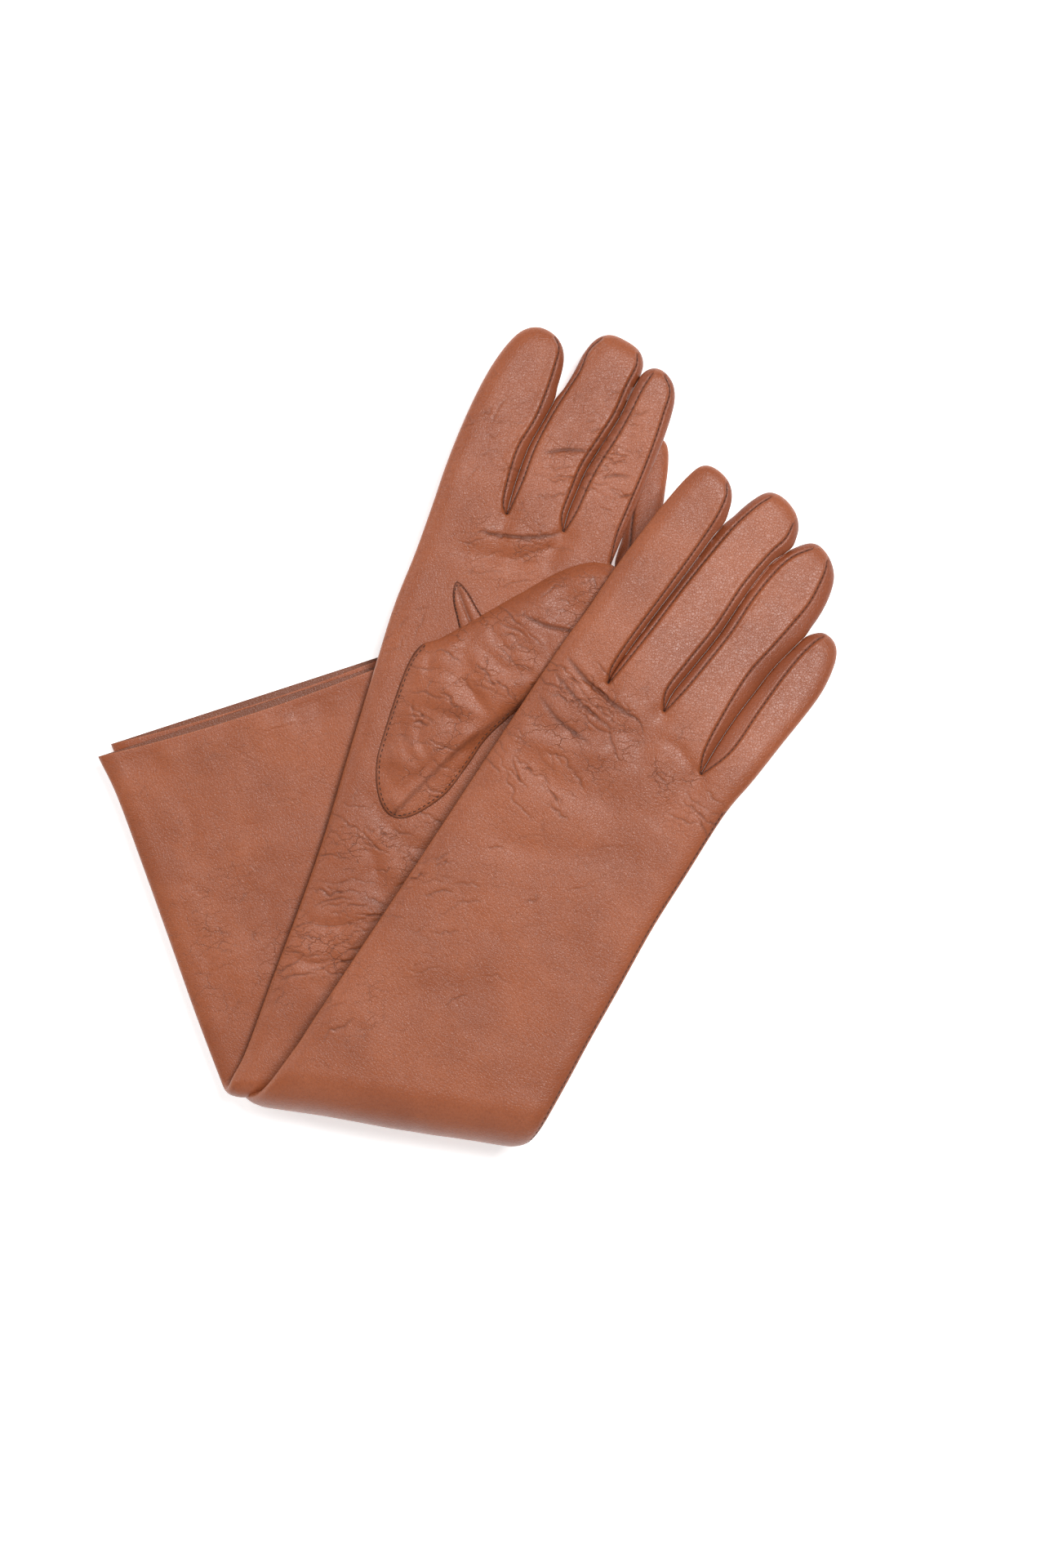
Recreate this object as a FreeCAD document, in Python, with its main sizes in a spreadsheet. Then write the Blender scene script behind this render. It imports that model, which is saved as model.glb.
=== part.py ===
"""A folded pair of long leather dress gloves, one STEP file for each piece of leather.

Each glove is a sleeve folded under its hand, four finger stalls, a thumb and the strips
and seams that join them.  Millimetres, +Z up, origin under the middle of the pair.
"""
import math
import os

import FreeCAD
import Part
import Sketcher

Vector = FreeCAD.Vector
UPWARD = Vector(0, 0, 1)
ACROSS = Vector(1, 0, 0)
STEP_FOLDER = "parts"
OVERSHOOT = 4.0
LONG_EDGE = 5.0
NUDGE = 1e-4

SHARED_SIZES = {
    "leather": 0.9,
    "layer_height": 6.2,
    "thumb_height": 4.4,
    "clearance": 0.4,
    "hem_length": 3.0,
    "seam_width": 0.8,
    "seam_height": 0.6,
    "soft_edge": 2.4,
    "stall_edge": 1.1,
    "gusset_length": 15.0,
    "gusset_width": 7.0,
    "thumb_hole_radius": 8.0,
}

# Where each glove lies: the middle of its fold, the turn of its hand and of its sleeve
# (degrees about Z), and the middle height of its two layers.
GLOVES = {
    "left": {"fold_middle": (-35.63, -119.81), "hand_turn": -20.0, "sleeve_turn": 18.0,
             "sleeve_level": 9.7, "hand_level": 16.3, "palm_side": 1.0},
    "right": {"fold_middle": (-28.13, -129.31), "hand_turn": -34.0, "sleeve_turn": 18.0,
              "sleeve_level": 3.1, "hand_level": 28.3, "palm_side": -1.0},
}

# Outlines as (across, along) from the middle of the fold, left side then right side.
SLEEVE_OUTLINES = {
    "left": {"left_side": [(-42.2, 14.2), (-44.3, 70.2), (-48.0, 132.4)],
             "right_side": [(60.0, 132.4), (50.0, 60.0), (41.5, -13.0)]},
    "right": {"left_side": [(-41.9, 22.0), (-44.0, 80.0), (-47.3, 146.6)],
              "right_side": [(60.7, 146.6), (51.0, 60.0), (42.0, -20.7)]},
}
HAND_OUTLINES = {
    "left": {"left_side": [(-41.5, -14.6), (-40.4, 35.0), (-40.6, 80.0), (-43.8, 135.0)],
             "right_side": [(33.3, 158.0), (37.0, 80.0), (41.0, 15.4)]},
    "right": {"left_side": [(-42.4, -19.2), (-38.6, 10.6), (-39.2, 90.0)],
              "right_side": [(36.8, 140.0), (38.2, 105.0), (42.0, 62.0), (44.5, 30.0),
                             (42.4, 20.6)]},
}

# Finger stalls: middle of the root (across, along), half widths at root and tip, length,
# fan about Z, droop below level, height, step down from the hand's top, side strips.
STALL_COLUMNS = ("across", "along", "root", "tip", "length", "fan", "droop", "height", "step",
                 "strips")
STALLS = {
    "left_index": (-32.3, 199.6, 11.6, 8.6, 62.5, 0.7, 8.0, 6.2, 0.0, "right"),
    "left_middle": (-10.2, 200.3, 9.6, 7.3, 68.0, 5.2, 8.0, 6.2, 0.0, "left right"),
    "left_ring": (7.6, 199.2, 7.9, 7.1, 63.5, 3.0, 3.0, 5.0, 0.0, "left right"),
    "left_little": (27.8, 194.0, 6.0, 5.6, 49.0, -13.0, 14.0, 4.6, 1.6, "left"),
    "right_index": (-29.8, 164.6, 9.6, 8.2, 78.0, -2.2, 1.0, 6.2, 0.0, "right"),
    "right_middle": (-9.5, 166.2, 10.0, 8.4, 81.5, 0.8, 9.0, 6.2, 0.0, "left right"),
    "right_ring": (11.4, 163.0, 10.2, 8.2, 77.5, 2.3, 11.0, 6.2, 0.0, "left right"),
    "right_little": (29.6, 156.2, 7.5, 7.0, 62.0, 2.6, 12.0, 6.2, 0.0, "left"),
}
FINGERS = ("index", "middle", "ring", "little")

# Thumbs: middle of the root in the glove's own frame, half widths, length and direction.
THUMBS = {
    "left": {"across": -25.7, "along": 125.0, "root": 14.0, "tip": 9.6, "length": 84.0,
             "fan": 36.0},
    "right": {"across": -20.0, "along": 82.0, "root": 13.5, "tip": 9.6, "length": 80.0,
              "fan": 40.0},
}
GUSSETS = {"left": (-28.3, 156.5, -6.0), "right": (-22.0, 112.0, -6.0)}

document = FreeCAD.newDocument("GlovePair")
sheet = document.addObject("Spreadsheet::Sheet", "sizes")
next_row = 0
finished_pieces = []


def size(name, value):
    """Write one driving size into the spreadsheet and return its expression."""
    global next_row
    next_row += 1
    cell = "A%d" % next_row
    sheet.set(cell, "%.4f" % value)
    sheet.setAlias(cell, name)
    sheet.recompute()
    return "sizes." + name


def corner_sizes(name, corners):
    """Write a list of outline corners into the spreadsheet as pairs of expressions."""
    pairs = []
    for number, (across, along) in enumerate(corners, 1):
        pairs.append((size("%s_across_%d" % (name, number), across),
                      size("%s_along_%d" % (name, number), along)))
    return pairs


def new_body(label, placement):
    """Start a body for one piece, already in its place."""
    body = document.addObject("PartDesign::Body", label)
    body.Label = label
    body.Placement = placement
    finished_pieces.append(body)
    return body


def flat_sketch(body, name):
    """Start a sketch on the body's own ground plane."""
    ground = [item for item in body.Origin.OriginFeatures if item.Role == "XY_Plane"][0]
    sketch = body.newObject("Sketcher::SketchObject", name)
    sketch.AttachmentSupport = [(ground, "")]
    sketch.MapMode = "FlatFace"
    return sketch


def hold(sketch, axis, line, end, expression):
    """Hold one end of a line at a distance from the origin given by an expression."""
    value = float(sketch.evalExpression(expression))
    number = sketch.addConstraint(Sketcher.Constraint("Distance" + axis, -1, 1, line, end, value))
    sketch.setExpression("Constraints[%d]" % number, expression)


def outline_sketch(body, name, corners):
    """Draw a closed outline whose corners are pairs of expressions."""
    sketch = flat_sketch(body, name)
    spots = [Vector(float(sketch.evalExpression(across)), float(sketch.evalExpression(along)), 0)
             for across, along in corners]
    count = len(spots)
    for line in range(count):
        sketch.addGeometry(Part.LineSegment(spots[line], spots[(line + 1) % count]), False)
    for line in range(count):
        after = (line + 1) % count
        sketch.addConstraint(Sketcher.Constraint("Coincident", line, 2, after, 1))
    for line, (across, along) in enumerate(corners):
        hold(sketch, "X", line, 1, across)
        hold(sketch, "Y", line, 1, along)
    return sketch


def stall_sketch(body, name, root, tip, start, length):
    """Draw a tapered finger outline with a round tip; every argument is an expression."""
    sketch = flat_sketch(body, name)
    root_half = float(sketch.evalExpression(root))
    tip_half = float(sketch.evalExpression(tip))
    root_line = float(sketch.evalExpression(start))
    shoulder_expression = "%s - %s" % (length, tip)
    shoulder = float(sketch.evalExpression(shoulder_expression))
    right_foot, left_foot = Vector(root_half, root_line, 0), Vector(-root_half, root_line, 0)
    right_top, left_top = Vector(tip_half, shoulder, 0), Vector(-tip_half, shoulder, 0)
    crown = Vector(0, shoulder + tip_half, 0)
    sketch.addGeometry(Part.LineSegment(left_foot, right_foot), False)
    sketch.addGeometry(Part.LineSegment(right_foot, right_top), False)
    sketch.addGeometry(Part.Arc(right_top, crown, left_top), False)
    sketch.addGeometry(Part.LineSegment(left_top, left_foot), False)
    sketch.addConstraint(Sketcher.Constraint("Coincident", 0, 2, 1, 1))
    sketch.addConstraint(Sketcher.Constraint("Coincident", 1, 2, 2, 1))
    sketch.addConstraint(Sketcher.Constraint("Coincident", 2, 2, 3, 1))
    sketch.addConstraint(Sketcher.Constraint("Coincident", 3, 2, 0, 1))
    sketch.addConstraint(Sketcher.Constraint("Symmetric", 0, 1, 0, 2, -2))
    sketch.addConstraint(Sketcher.Constraint("Symmetric", 2, 1, 2, 2, 2, 3))
    hold(sketch, "X", 0, 2, root)
    hold(sketch, "Y", 0, 2, start)
    hold(sketch, "X", 1, 2, tip)
    hold(sketch, "Y", 1, 2, shoulder_expression)
    hold(sketch, "Y", 2, 3, shoulder_expression)
    return sketch


def pad(body, sketch, name, height):
    """Thicken an outline equally up and down."""
    feature = body.newObject("PartDesign::Pad", name)
    feature.Profile = sketch
    feature.setExpression("Length", height)
    feature.Midplane = True
    document.recompute()
    return feature


def hollow(body, sketch, name, height):
    """Cut an outline out of the middle of a body and make sure it took something away."""
    before = body.Shape.Volume
    feature = body.newObject("PartDesign::Pocket", name)
    feature.Profile = sketch
    feature.setExpression("Length", height)
    feature.Midplane = True
    document.recompute()
    if not feature.Shape.Volume < before - NUDGE:
        raise RuntimeError(body.Label + ": " + name + " cut nothing")
    return feature


def soften(body, feature, radius, half_height, keep_root):
    """Round the long edges of the top and bottom faces, leaving the open ends square."""
    chosen = []
    for number, edge in enumerate(feature.Shape.Edges, 1):
        box = edge.BoundBox
        if edge.Length < LONG_EDGE or box.ZLength > NUDGE:
            continue
        if abs(abs(box.Center.z) - half_height) > NUDGE:
            continue
        runs_across = box.XLength > box.YLength
        straight = edge.Curve.TypeId == "Part::GeomLine"
        if straight and runs_across and keep_root:
            continue
        chosen.append("Edge%d" % number)
    fillet = body.newObject("PartDesign::Fillet", "SoftEdges")
    fillet.Base = (feature, chosen)
    fillet.setExpression("Radius", radius)
    document.recompute()
    return fillet


def flat_tube(label, placement, left_side, right_side, finger_edge, height_expression, height):
    """Make a flattened leather tube, open at both ends.  Corners are expression pairs."""
    body = new_body(label, placement)
    outer = outline_sketch(body, "Outline", left_side + finger_edge + right_side)
    solid = pad(body, outer, "Leather", height_expression)
    soften(body, solid, "sizes.soft_edge", height / 2, True)
    inner = []
    for place, (across, along) in enumerate(left_side):
        reach = " - %g" % OVERSHOOT if place == 0 else ""
        inner.append((across + " + sizes.leather", along + reach))
    if finger_edge:
        inner.append((finger_edge[0][0] + " + sizes.leather",
                      finger_edge[0][1] + " + %g" % OVERSHOOT))
        inner.append((finger_edge[-1][0] + " - sizes.leather",
                      finger_edge[-1][1] + " + %g" % (4 * OVERSHOOT)))
    else:
        inner[-1] = (inner[-1][0], inner[-1][1] + " + %g" % OVERSHOOT)
    for place, (across, along) in enumerate(right_side):
        reach = ""
        if place == len(right_side) - 1:
            reach = " - %g" % OVERSHOOT
        elif place == 0 and not finger_edge:
            reach = " + %g" % OVERSHOOT
        inner.append((across + " - sizes.leather", along + reach))
    cavity = outline_sketch(body, "Inside", inner)
    hollow(body, cavity, "Hollow", height_expression + " - 2 * sizes.leather")
    return body


def side_strip(label, placement, side, height_expression):
    """Make the stitched ridge that runs up the right-hand side of a tube."""
    body = new_body(label, placement)
    outside = [(across + " + sizes.seam_width", along) for across, along in side]
    profile = outline_sketch(body, "Ridge", side + outside[::-1])
    pad(body, profile, "Stitching", height_expression)
    return body


def turned(degrees, axis=UPWARD):
    """A turn about an axis through the origin, as a placement."""
    return FreeCAD.Placement(Vector(0, 0, 0), FreeCAD.Rotation(axis, degrees))


def moved(across, along, up):
    """A plain shift, as a placement."""
    return FreeCAD.Placement(Vector(across, along, up), FreeCAD.Rotation())


def glove_frame(glove, turn, level):
    """The frame at the middle of a glove's fold, turned with its hand or its sleeve."""
    across, along = GLOVES[glove]["fold_middle"]
    return moved(across, along, GLOVES[glove][level]) * turned(GLOVES[glove][turn])


def stall_values(name):
    """The sizes of one finger stall by name."""
    return dict(zip(STALL_COLUMNS, STALLS[name]))


def finger_edge_corners(glove):
    """The edge of the hand where the stalls start, square to each stall."""
    corners = []
    for finger in FINGERS:
        values = stall_values(glove + "_" + finger)
        fan = math.radians(values["fan"])
        for side in (-1.0, 1.0):
            corners.append((values["across"] + side * values["root"] * math.cos(fan),
                            values["along"] - side * values["root"] * math.sin(fan)))
    return corners


def make_sleeve(glove):
    """The arm of the glove, its turned hem at the mouth and its side seam."""
    outline = SLEEVE_OUTLINES[glove]
    place = glove_frame(glove, "sleeve_turn", "sleeve_level")
    left_side = corner_sizes(glove + "_sleeve_left", outline["left_side"])
    right_side = corner_sizes(glove + "_sleeve_right", outline["right_side"])
    height = SHARED_SIZES["layer_height"]
    flat_tube(glove + "_sleeve", place, left_side, right_side, [], "sizes.layer_height", height)
    mouth_left, mouth_right = left_side[-1], right_side[0]
    hem_left = [mouth_left, (mouth_left[0], mouth_left[1] + " + sizes.hem_length")]
    hem_right = [(mouth_right[0], mouth_right[1] + " + sizes.hem_length"), mouth_right]
    hem = new_body(glove + "_cuff_hem", place)
    ring = outline_sketch(hem, "Outline", hem_left + hem_right)
    pad(hem, ring, "Leather", "sizes.layer_height")
    mouth = [(hem_left[0][0] + " + sizes.leather", hem_left[0][1] + " - %g" % OVERSHOOT),
             (hem_left[1][0] + " + sizes.leather", hem_left[1][1] + " + %g" % OVERSHOOT),
             (hem_right[0][0] + " - sizes.leather", hem_right[0][1] + " + %g" % OVERSHOOT),
             (hem_right[1][0] + " - sizes.leather", hem_right[1][1] + " - %g" % OVERSHOOT)]
    hollow(hem, outline_sketch(hem, "Mouth", mouth), "Hollow",
           "sizes.layer_height - 2 * sizes.leather")
    side_strip(glove + "_sleeve_seam", place, right_side, "sizes.seam_height")


def make_hand(glove):
    """The palm and back of the glove with its thumb hole, side seam and thumb gusset."""
    outline = HAND_OUTLINES[glove]
    place = glove_frame(glove, "hand_turn", "hand_level")
    palm_side = GLOVES[glove]["palm_side"]
    height = SHARED_SIZES["layer_height"]
    left_side = corner_sizes(glove + "_hand_left", outline["left_side"])
    finger_edge = corner_sizes(glove + "_hand_fingers", finger_edge_corners(glove))
    right_side = corner_sizes(glove + "_hand_right", outline["right_side"])
    hand = flat_tube(glove + "_hand", place, left_side, right_side, finger_edge,
                     "sizes.layer_height", height)
    thumb = THUMBS[glove]
    hole = flat_sketch(hand, "ThumbHole")
    hole.AttachmentOffset = moved(0, 0, palm_side * height / 2)
    reach = SHARED_SIZES["thumb_hole_radius"] + 2.0
    fan = math.radians(thumb["fan"])
    middle_across = size(glove + "_thumb_hole_across", thumb["across"] + reach * math.sin(fan))
    middle_along = size(glove + "_thumb_hole_along", thumb["along"] + reach * math.cos(fan))
    centre = Vector(float(hole.evalExpression(middle_across)),
                    float(hole.evalExpression(middle_along)), 0)
    circle = Part.Circle(centre, UPWARD, SHARED_SIZES["thumb_hole_radius"])
    hole.addGeometry(circle, False)
    hold(hole, "X", 0, 3, middle_across)
    hold(hole, "Y", 0, 3, middle_along)
    number = hole.addConstraint(Sketcher.Constraint("Radius", 0, circle.Radius))
    hole.setExpression("Constraints[%d]" % number, "sizes.thumb_hole_radius")
    hollow(hand, hole, "ThumbOpening", "4 * sizes.leather")
    across, along, lean = GUSSETS[glove]
    corner_list = gusset_corners(glove, across, along, lean)
    dart = outline_sketch(hand, "GussetDart", corner_list)
    dart.AttachmentOffset = moved(0, 0, palm_side * height / 2)
    hollow(hand, dart, "DartOpening", "2 * sizes.leather")
    lift = palm_side * (height - SHARED_SIZES["leather"]) / 2
    gusset = new_body(glove + "_thumb_gusset", place * moved(0, 0, lift))
    pad(gusset, outline_sketch(gusset, "Dart", corner_list), "Leather", "sizes.leather")
    side_strip(glove + "_hand_seam", place, right_side, "sizes.seam_height")


def gusset_corners(glove, across, along, lean):
    """The narrow three-cornered dart above the thumb, point towards the fingers."""
    half = SHARED_SIZES["gusset_width"] / 2
    corners = [(across - half, along), (across + half, along + half),
               (across + lean / 2, along + SHARED_SIZES["gusset_length"])]
    return corner_sizes(glove + "_gusset", corners)


def make_stall(glove, finger):
    """One finger stall, open along each side that takes a side strip, and its strips."""
    name = glove + "_" + finger
    values = stall_values(name)
    expressions = {key: size(name + "_" + key, values[key])
                   for key in ("root", "tip", "length", "height")}
    gap = SHARED_SIZES["clearance"] + values["height"] * math.sin(math.radians(values["droop"]))
    top = SHARED_SIZES["layer_height"] / 2 - values["step"]
    place = (glove_frame(glove, "hand_turn", "hand_level")
             * moved(values["across"], values["along"], top)
             * turned(-values["fan"])
             * turned(-values["droop"], ACROSS)
             * moved(0, 0, -values["height"] / 2))
    start = size(name + "_start", gap)
    body = new_body(name + "_stall", place)
    outer = stall_sketch(body, "Outline", expressions["root"], expressions["tip"], start,
                         expressions["length"])
    solid = pad(body, outer, "Leather", expressions["height"])
    soften(body, solid, "sizes.stall_edge", values["height"] / 2, True)
    before_root = size(name + "_before_root", gap - OVERSHOOT)
    inside_height = expressions["height"] + " - 2 * sizes.leather"
    inner = stall_sketch(body, "Inside", expressions["root"] + " - sizes.leather",
                         expressions["tip"] + " - sizes.leather", before_root,
                         expressions["length"] + " - sizes.leather")
    hollow(body, inner, "Hollow", inside_height)
    strip_end = size(name + "_strip_end", (values["length"] - values["tip"]) * 0.97)
    slope = "(%s - %s) * (%s - %s) / (%s - %s - %s)" % (
        expressions["root"], expressions["tip"], strip_end, start,
        expressions["length"], expressions["tip"], start)
    edge_at_end = "%s - %s" % (expressions["root"], slope)
    for side in values["strips"].split():
        sign = "1" if side == "right" else "-1"
        edge = [("%s * (%s)" % (sign, expressions["root"]), start),
                ("%s * (%s)" % (sign, edge_at_end), strip_end),
                ("%s * (%s - sizes.leather)" % (sign, edge_at_end), strip_end),
                ("%s * (%s - sizes.leather)" % (sign, expressions["root"]), start)]
        beyond = [("%s * (%s + 1)" % (sign, expressions["root"]), before_root),
                  ("%s * (%s + 1)" % (sign, edge_at_end), strip_end),
                  ("%s * (%s - 2 * sizes.leather)" % (sign, edge_at_end), strip_end),
                  ("%s * (%s - 2 * sizes.leather)" % (sign, expressions["root"]), before_root)]
        window = outline_sketch(body, side.capitalize() + "Side", beyond)
        hollow(body, window, side.capitalize() + "Opening", inside_height)
        strip = new_body("%s_fourchette_%s" % (name, side), place)
        pad(strip, outline_sketch(strip, "Strip", edge), "Leather", inside_height)


def make_thumb(glove):
    """The thumb stall, lying on the palm with its root open towards the hand."""
    name = glove + "_thumb"
    values = THUMBS[glove]
    palm_side = GLOVES[glove]["palm_side"]
    height = SHARED_SIZES["thumb_height"]
    root = size(name + "_root", values["root"])
    tip = size(name + "_tip", values["tip"])
    length = size(name + "_length", values["length"])
    start = size(name + "_start", SHARED_SIZES["clearance"])
    before_root = size(name + "_before_root", -OVERSHOOT)
    lift = palm_side * (SHARED_SIZES["layer_height"] / 2 + SHARED_SIZES["clearance"] + height / 2)
    place = (glove_frame(glove, "hand_turn", "hand_level")
             * moved(values["across"], values["along"], lift)
             * turned(-values["fan"]))
    body = new_body(name, place)
    solid = pad(body, stall_sketch(body, "Outline", root, tip, start, length), "Leather",
                "sizes.thumb_height")
    soften(body, solid, "sizes.stall_edge", height / 2, True)
    inner = stall_sketch(body, "Inside", root + " - sizes.leather", tip + " - sizes.leather",
                         before_root, length + " - sizes.leather")
    hollow(body, inner, "Hollow", "sizes.thumb_height - 2 * sizes.leather")


def check_document():
    """Stop unless every object recomputed cleanly into a sound solid."""
    for item in document.Objects:
        if "Invalid" in item.State or "Error" in item.State:
            raise RuntimeError(item.Label + " did not recompute")
    for body in finished_pieces:
        if body.Shape.isNull() or not body.Shape.isValid() or len(body.Shape.Solids) != 1:
            raise RuntimeError(body.Label + " is not one sound solid")


for shared_name, shared_value in SHARED_SIZES.items():
    size(shared_name, shared_value)
for glove_name in GLOVES:
    document.recompute()
    make_sleeve(glove_name)
    make_hand(glove_name)
    make_thumb(glove_name)
    for finger_name in FINGERS:
        make_stall(glove_name, finger_name)
document.recompute()
check_document()
os.makedirs(STEP_FOLDER, exist_ok=True)
for piece in finished_pieces:
    piece.Shape.exportStep(os.path.join(STEP_FOLDER, piece.Label + ".step"))
print("wrote %d pieces" % len(finished_pieces))
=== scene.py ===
"""A folded pair of long leather dress gloves: the leather, its seams, creases and setting."""
import math

import bpy
import numpy as np
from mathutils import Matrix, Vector
from mathutils.geometry import delaunay_2d_cdt
from mathutils.kdtree import KDTree


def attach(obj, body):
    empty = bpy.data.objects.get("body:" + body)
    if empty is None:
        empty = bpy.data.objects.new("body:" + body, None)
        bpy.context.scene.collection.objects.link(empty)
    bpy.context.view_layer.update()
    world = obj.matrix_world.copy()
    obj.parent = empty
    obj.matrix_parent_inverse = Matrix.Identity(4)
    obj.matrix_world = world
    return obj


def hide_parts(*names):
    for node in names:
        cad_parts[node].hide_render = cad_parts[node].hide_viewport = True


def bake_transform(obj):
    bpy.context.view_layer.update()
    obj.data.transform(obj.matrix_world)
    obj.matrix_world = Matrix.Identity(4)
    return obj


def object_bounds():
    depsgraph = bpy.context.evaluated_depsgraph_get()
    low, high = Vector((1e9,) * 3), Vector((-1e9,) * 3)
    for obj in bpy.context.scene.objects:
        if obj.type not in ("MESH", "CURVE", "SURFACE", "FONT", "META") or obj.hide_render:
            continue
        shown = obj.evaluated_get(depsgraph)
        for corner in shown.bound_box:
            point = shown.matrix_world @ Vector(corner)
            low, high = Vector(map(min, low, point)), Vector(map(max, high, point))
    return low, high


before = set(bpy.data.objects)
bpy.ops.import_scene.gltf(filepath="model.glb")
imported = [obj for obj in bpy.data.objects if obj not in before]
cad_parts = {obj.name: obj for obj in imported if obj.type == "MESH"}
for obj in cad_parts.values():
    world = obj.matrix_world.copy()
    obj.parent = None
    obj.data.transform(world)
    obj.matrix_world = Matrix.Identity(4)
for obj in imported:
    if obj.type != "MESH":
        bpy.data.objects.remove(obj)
cad_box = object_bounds()

MM = 0.001
SETTLE = np.array([0.37, 0.69])
GRID_STEP = 1.25
LINE_STEP = 0.8
LEATHER = 0.8
STITCH_EVERY = 1.9
STITCH_LENGTH = 1.25
STITCH_RADIUS = 0.17
STITCH_LIFT = 0.05
RIM_STEPS = (0.06, 0.3, 0.75, 1.4, 2.3)
LOWER_SHEET_AWAY = (0.0, 500.0)
LINING_REACH = 46.0
HEM_WIDTH = 3.4
STRIP_REACH = 6.0
SIDE_SEAM_INSET = 0.85
FINGER_HALF = 3.05
FINGER_EDGE = 5.4
DROOP_EASE = 14.0
NARROW_CREASE = 1.0
FINGERS = ("index", "middle", "ring", "little")

# ---------------------------------------------------------------- how each glove is laid
# Plan points are millimetres from under the middle of the pair.
RIGHT = {
    "name": "right",
    "fold_start": (-75.0, -122.5), "fold_turn": -9.0,
    "hand_level": 28.3, "sleeve_level": 3.1, "half": 2.85, "edge": 6.5,
    "hand_direction": 56.0, "palm_side": -1,
    "roots": [(28.0, 30.7), (47.1, 17.8), (65.6, 8.3), (77.8, -12.5), (91.0, -21.5)],
    "droop": {"index": 1.5, "middle": 9.0, "ring": 11.0, "little": 12.0},
    "hand_left": [(-57.0, -103.8), (-50.0, -93.2), (-20.0, -47.8), (10.0, -2.2), (30.6, 28.7)],
    "index": [(36.0, 36.3), (40.6, 42.6), (48.6, 54.6), (58.4, 68.0), (67.2, 79.0),
              (73.4, 86.0), (78.0, 89.6), (82.2, 89.2), (86.6, 85.4), (88.3, 80.6),
              (87.4, 75.0), (84.6, 70.0), (81.2, 65.9), (73.2, 55.0), (63.5, 42.1),
              (55.5, 31.2), (49.5, 22.7)],
    "middle": [(50.1, 22.2), (56.1, 30.8), (64.1, 41.5), (73.9, 54.4), (81.9, 65.3),
               (88.2, 72.4), (94.6, 78.2), (100.4, 81.4), (105.4, 80.0), (109.6, 75.2),
               (110.9, 69.8), (109.4, 64.6), (106.2, 61.6), (100.6, 57.6), (92.6, 47.3),
               (84.1, 34.5), (75.1, 23.2), (68.2, 14.4)],
    "ring": [(68.8, 14.0), (75.8, 22.6), (84.8, 33.9), (93.4, 46.6), (101.4, 56.8),
             (107.8, 61.4), (113.0, 64.3), (117.6, 64.0), (121.4, 59.6), (122.9, 53.6),
             (121.4, 47.2), (118.2, 40.8), (114.4, 35.6), (109.2, 30.5), (101.7, 22.9),
             (95.7, 15.1), (89.5, 7.0), (83.2, -2.6)],
    "little": [(83.8, -3.0), (90.3, 6.4), (96.4, 14.4), (102.5, 22.1), (109.8, 29.4),
               (114.6, 33.6), (119.0, 34.6), (122.6, 31.8), (123.5, 27.2), (121.4, 20.4),
               (116.4, 11.7), (104.3, -3.4), (95.2, -14.8)],
    "hand_right": [(85.7, -26.1), (73.2, -45.8), (61.8, -63.9), (50.4, -84.4),
                   (40.6, -101.8), (31.5, -118.6)],
    "sleeve_left": [(-79.5, -110.6), (-90.0, -82.0), (-104.5, -43.0), (-119.7, -2.3)],
    "sleeve_right": [(14.2, -120.0), (8.0, -88.0), (-5.0, -25.0), (-17.0, 31.1)],
}
LEFT = {
    "name": "left",
    "fold_start": (-80.6, -120.5), "fold_turn": 0.0,
    "hand_level": 16.3, "sleeve_level": 9.7, "half": 2.7, "edge": 6.0,
    "hand_direction": 70.0, "palm_side": 1,
    "roots": [(-11.0, 82.5), (13.5, 74.2), (32.4, 68.4), (48.4, 57.5), (64.0, 48.0)],
    "droop": {"index": 8.0, "middle": 8.0, "ring": 3.5, "little": 14.0},
    "hand_left": [(-78.4, -114.6), (-73.4, -104.6), (-64.7, -80.9), (-49.8, -40.4),
                  (-38.6, -3.6), (-30.9, 21.7), (-24.2, 43.3), (-17.0, 61.4), (-11.4, 77.0)],
    "index": [(-7.0, 90.0), (-2.6, 101.4), (3.0, 114.0), (8.6, 124.4), (14.6, 132.6),
              (19.4, 136.5), (24.4, 137.3), (29.0, 135.2), (32.0, 131.2), (32.7, 126.2),
              (31.4, 119.8), (28.4, 111.4), (24.9, 104.6), (20.4, 96.6), (16.7, 86.6),
              (14.5, 79.2)],
    "middle": [(15.0, 78.8), (17.3, 86.2), (21.1, 96.3), (25.8, 105.0), (30.8, 113.6),
               (35.6, 121.4), (39.4, 128.6), (43.6, 133.4), (48.4, 134.8), (53.6, 132.8),
               (57.8, 129.6), (59.3, 125.6), (58.3, 121.8), (55.0, 115.4), (51.0, 107.0),
               (46.0, 99.0), (40.0, 89.5), (36.3, 81.2), (33.6, 74.4)],
    "ring": [(34.1, 74.1), (36.9, 80.9), (40.6, 89.2), (46.6, 98.6), (51.6, 106.6),
             (55.7, 115.0), (58.9, 120.8), (62.2, 123.2), (66.0, 122.2), (69.0, 118.4),
             (69.8, 113.6), (68.8, 108.0), (66.0, 99.4), (61.4, 88.0), (56.4, 76.2),
             (52.2, 66.6), (49.9, 61.2)],
    "little": [],
    "hand_right": [(62.0, 48.9), (55.6, 33.0), (49.1, 16.6), (36.4, -22.0), (26.2, -58.0),
                   (16.0, -92.0), (10.2, -111.0)],
    "sleeve_left": [(-83.2, -112.8), (-91.0, -92.2), (-99.8, -67.4), (-108.4, -43.4),
                    (-117.2, -19.6), (-123.5, -6.6)],
    "sleeve_right": [(5.4, -112.8), (-2.0, -60.0), (-12.0, -15.0), (-20.8, 26.8)],
}

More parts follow.
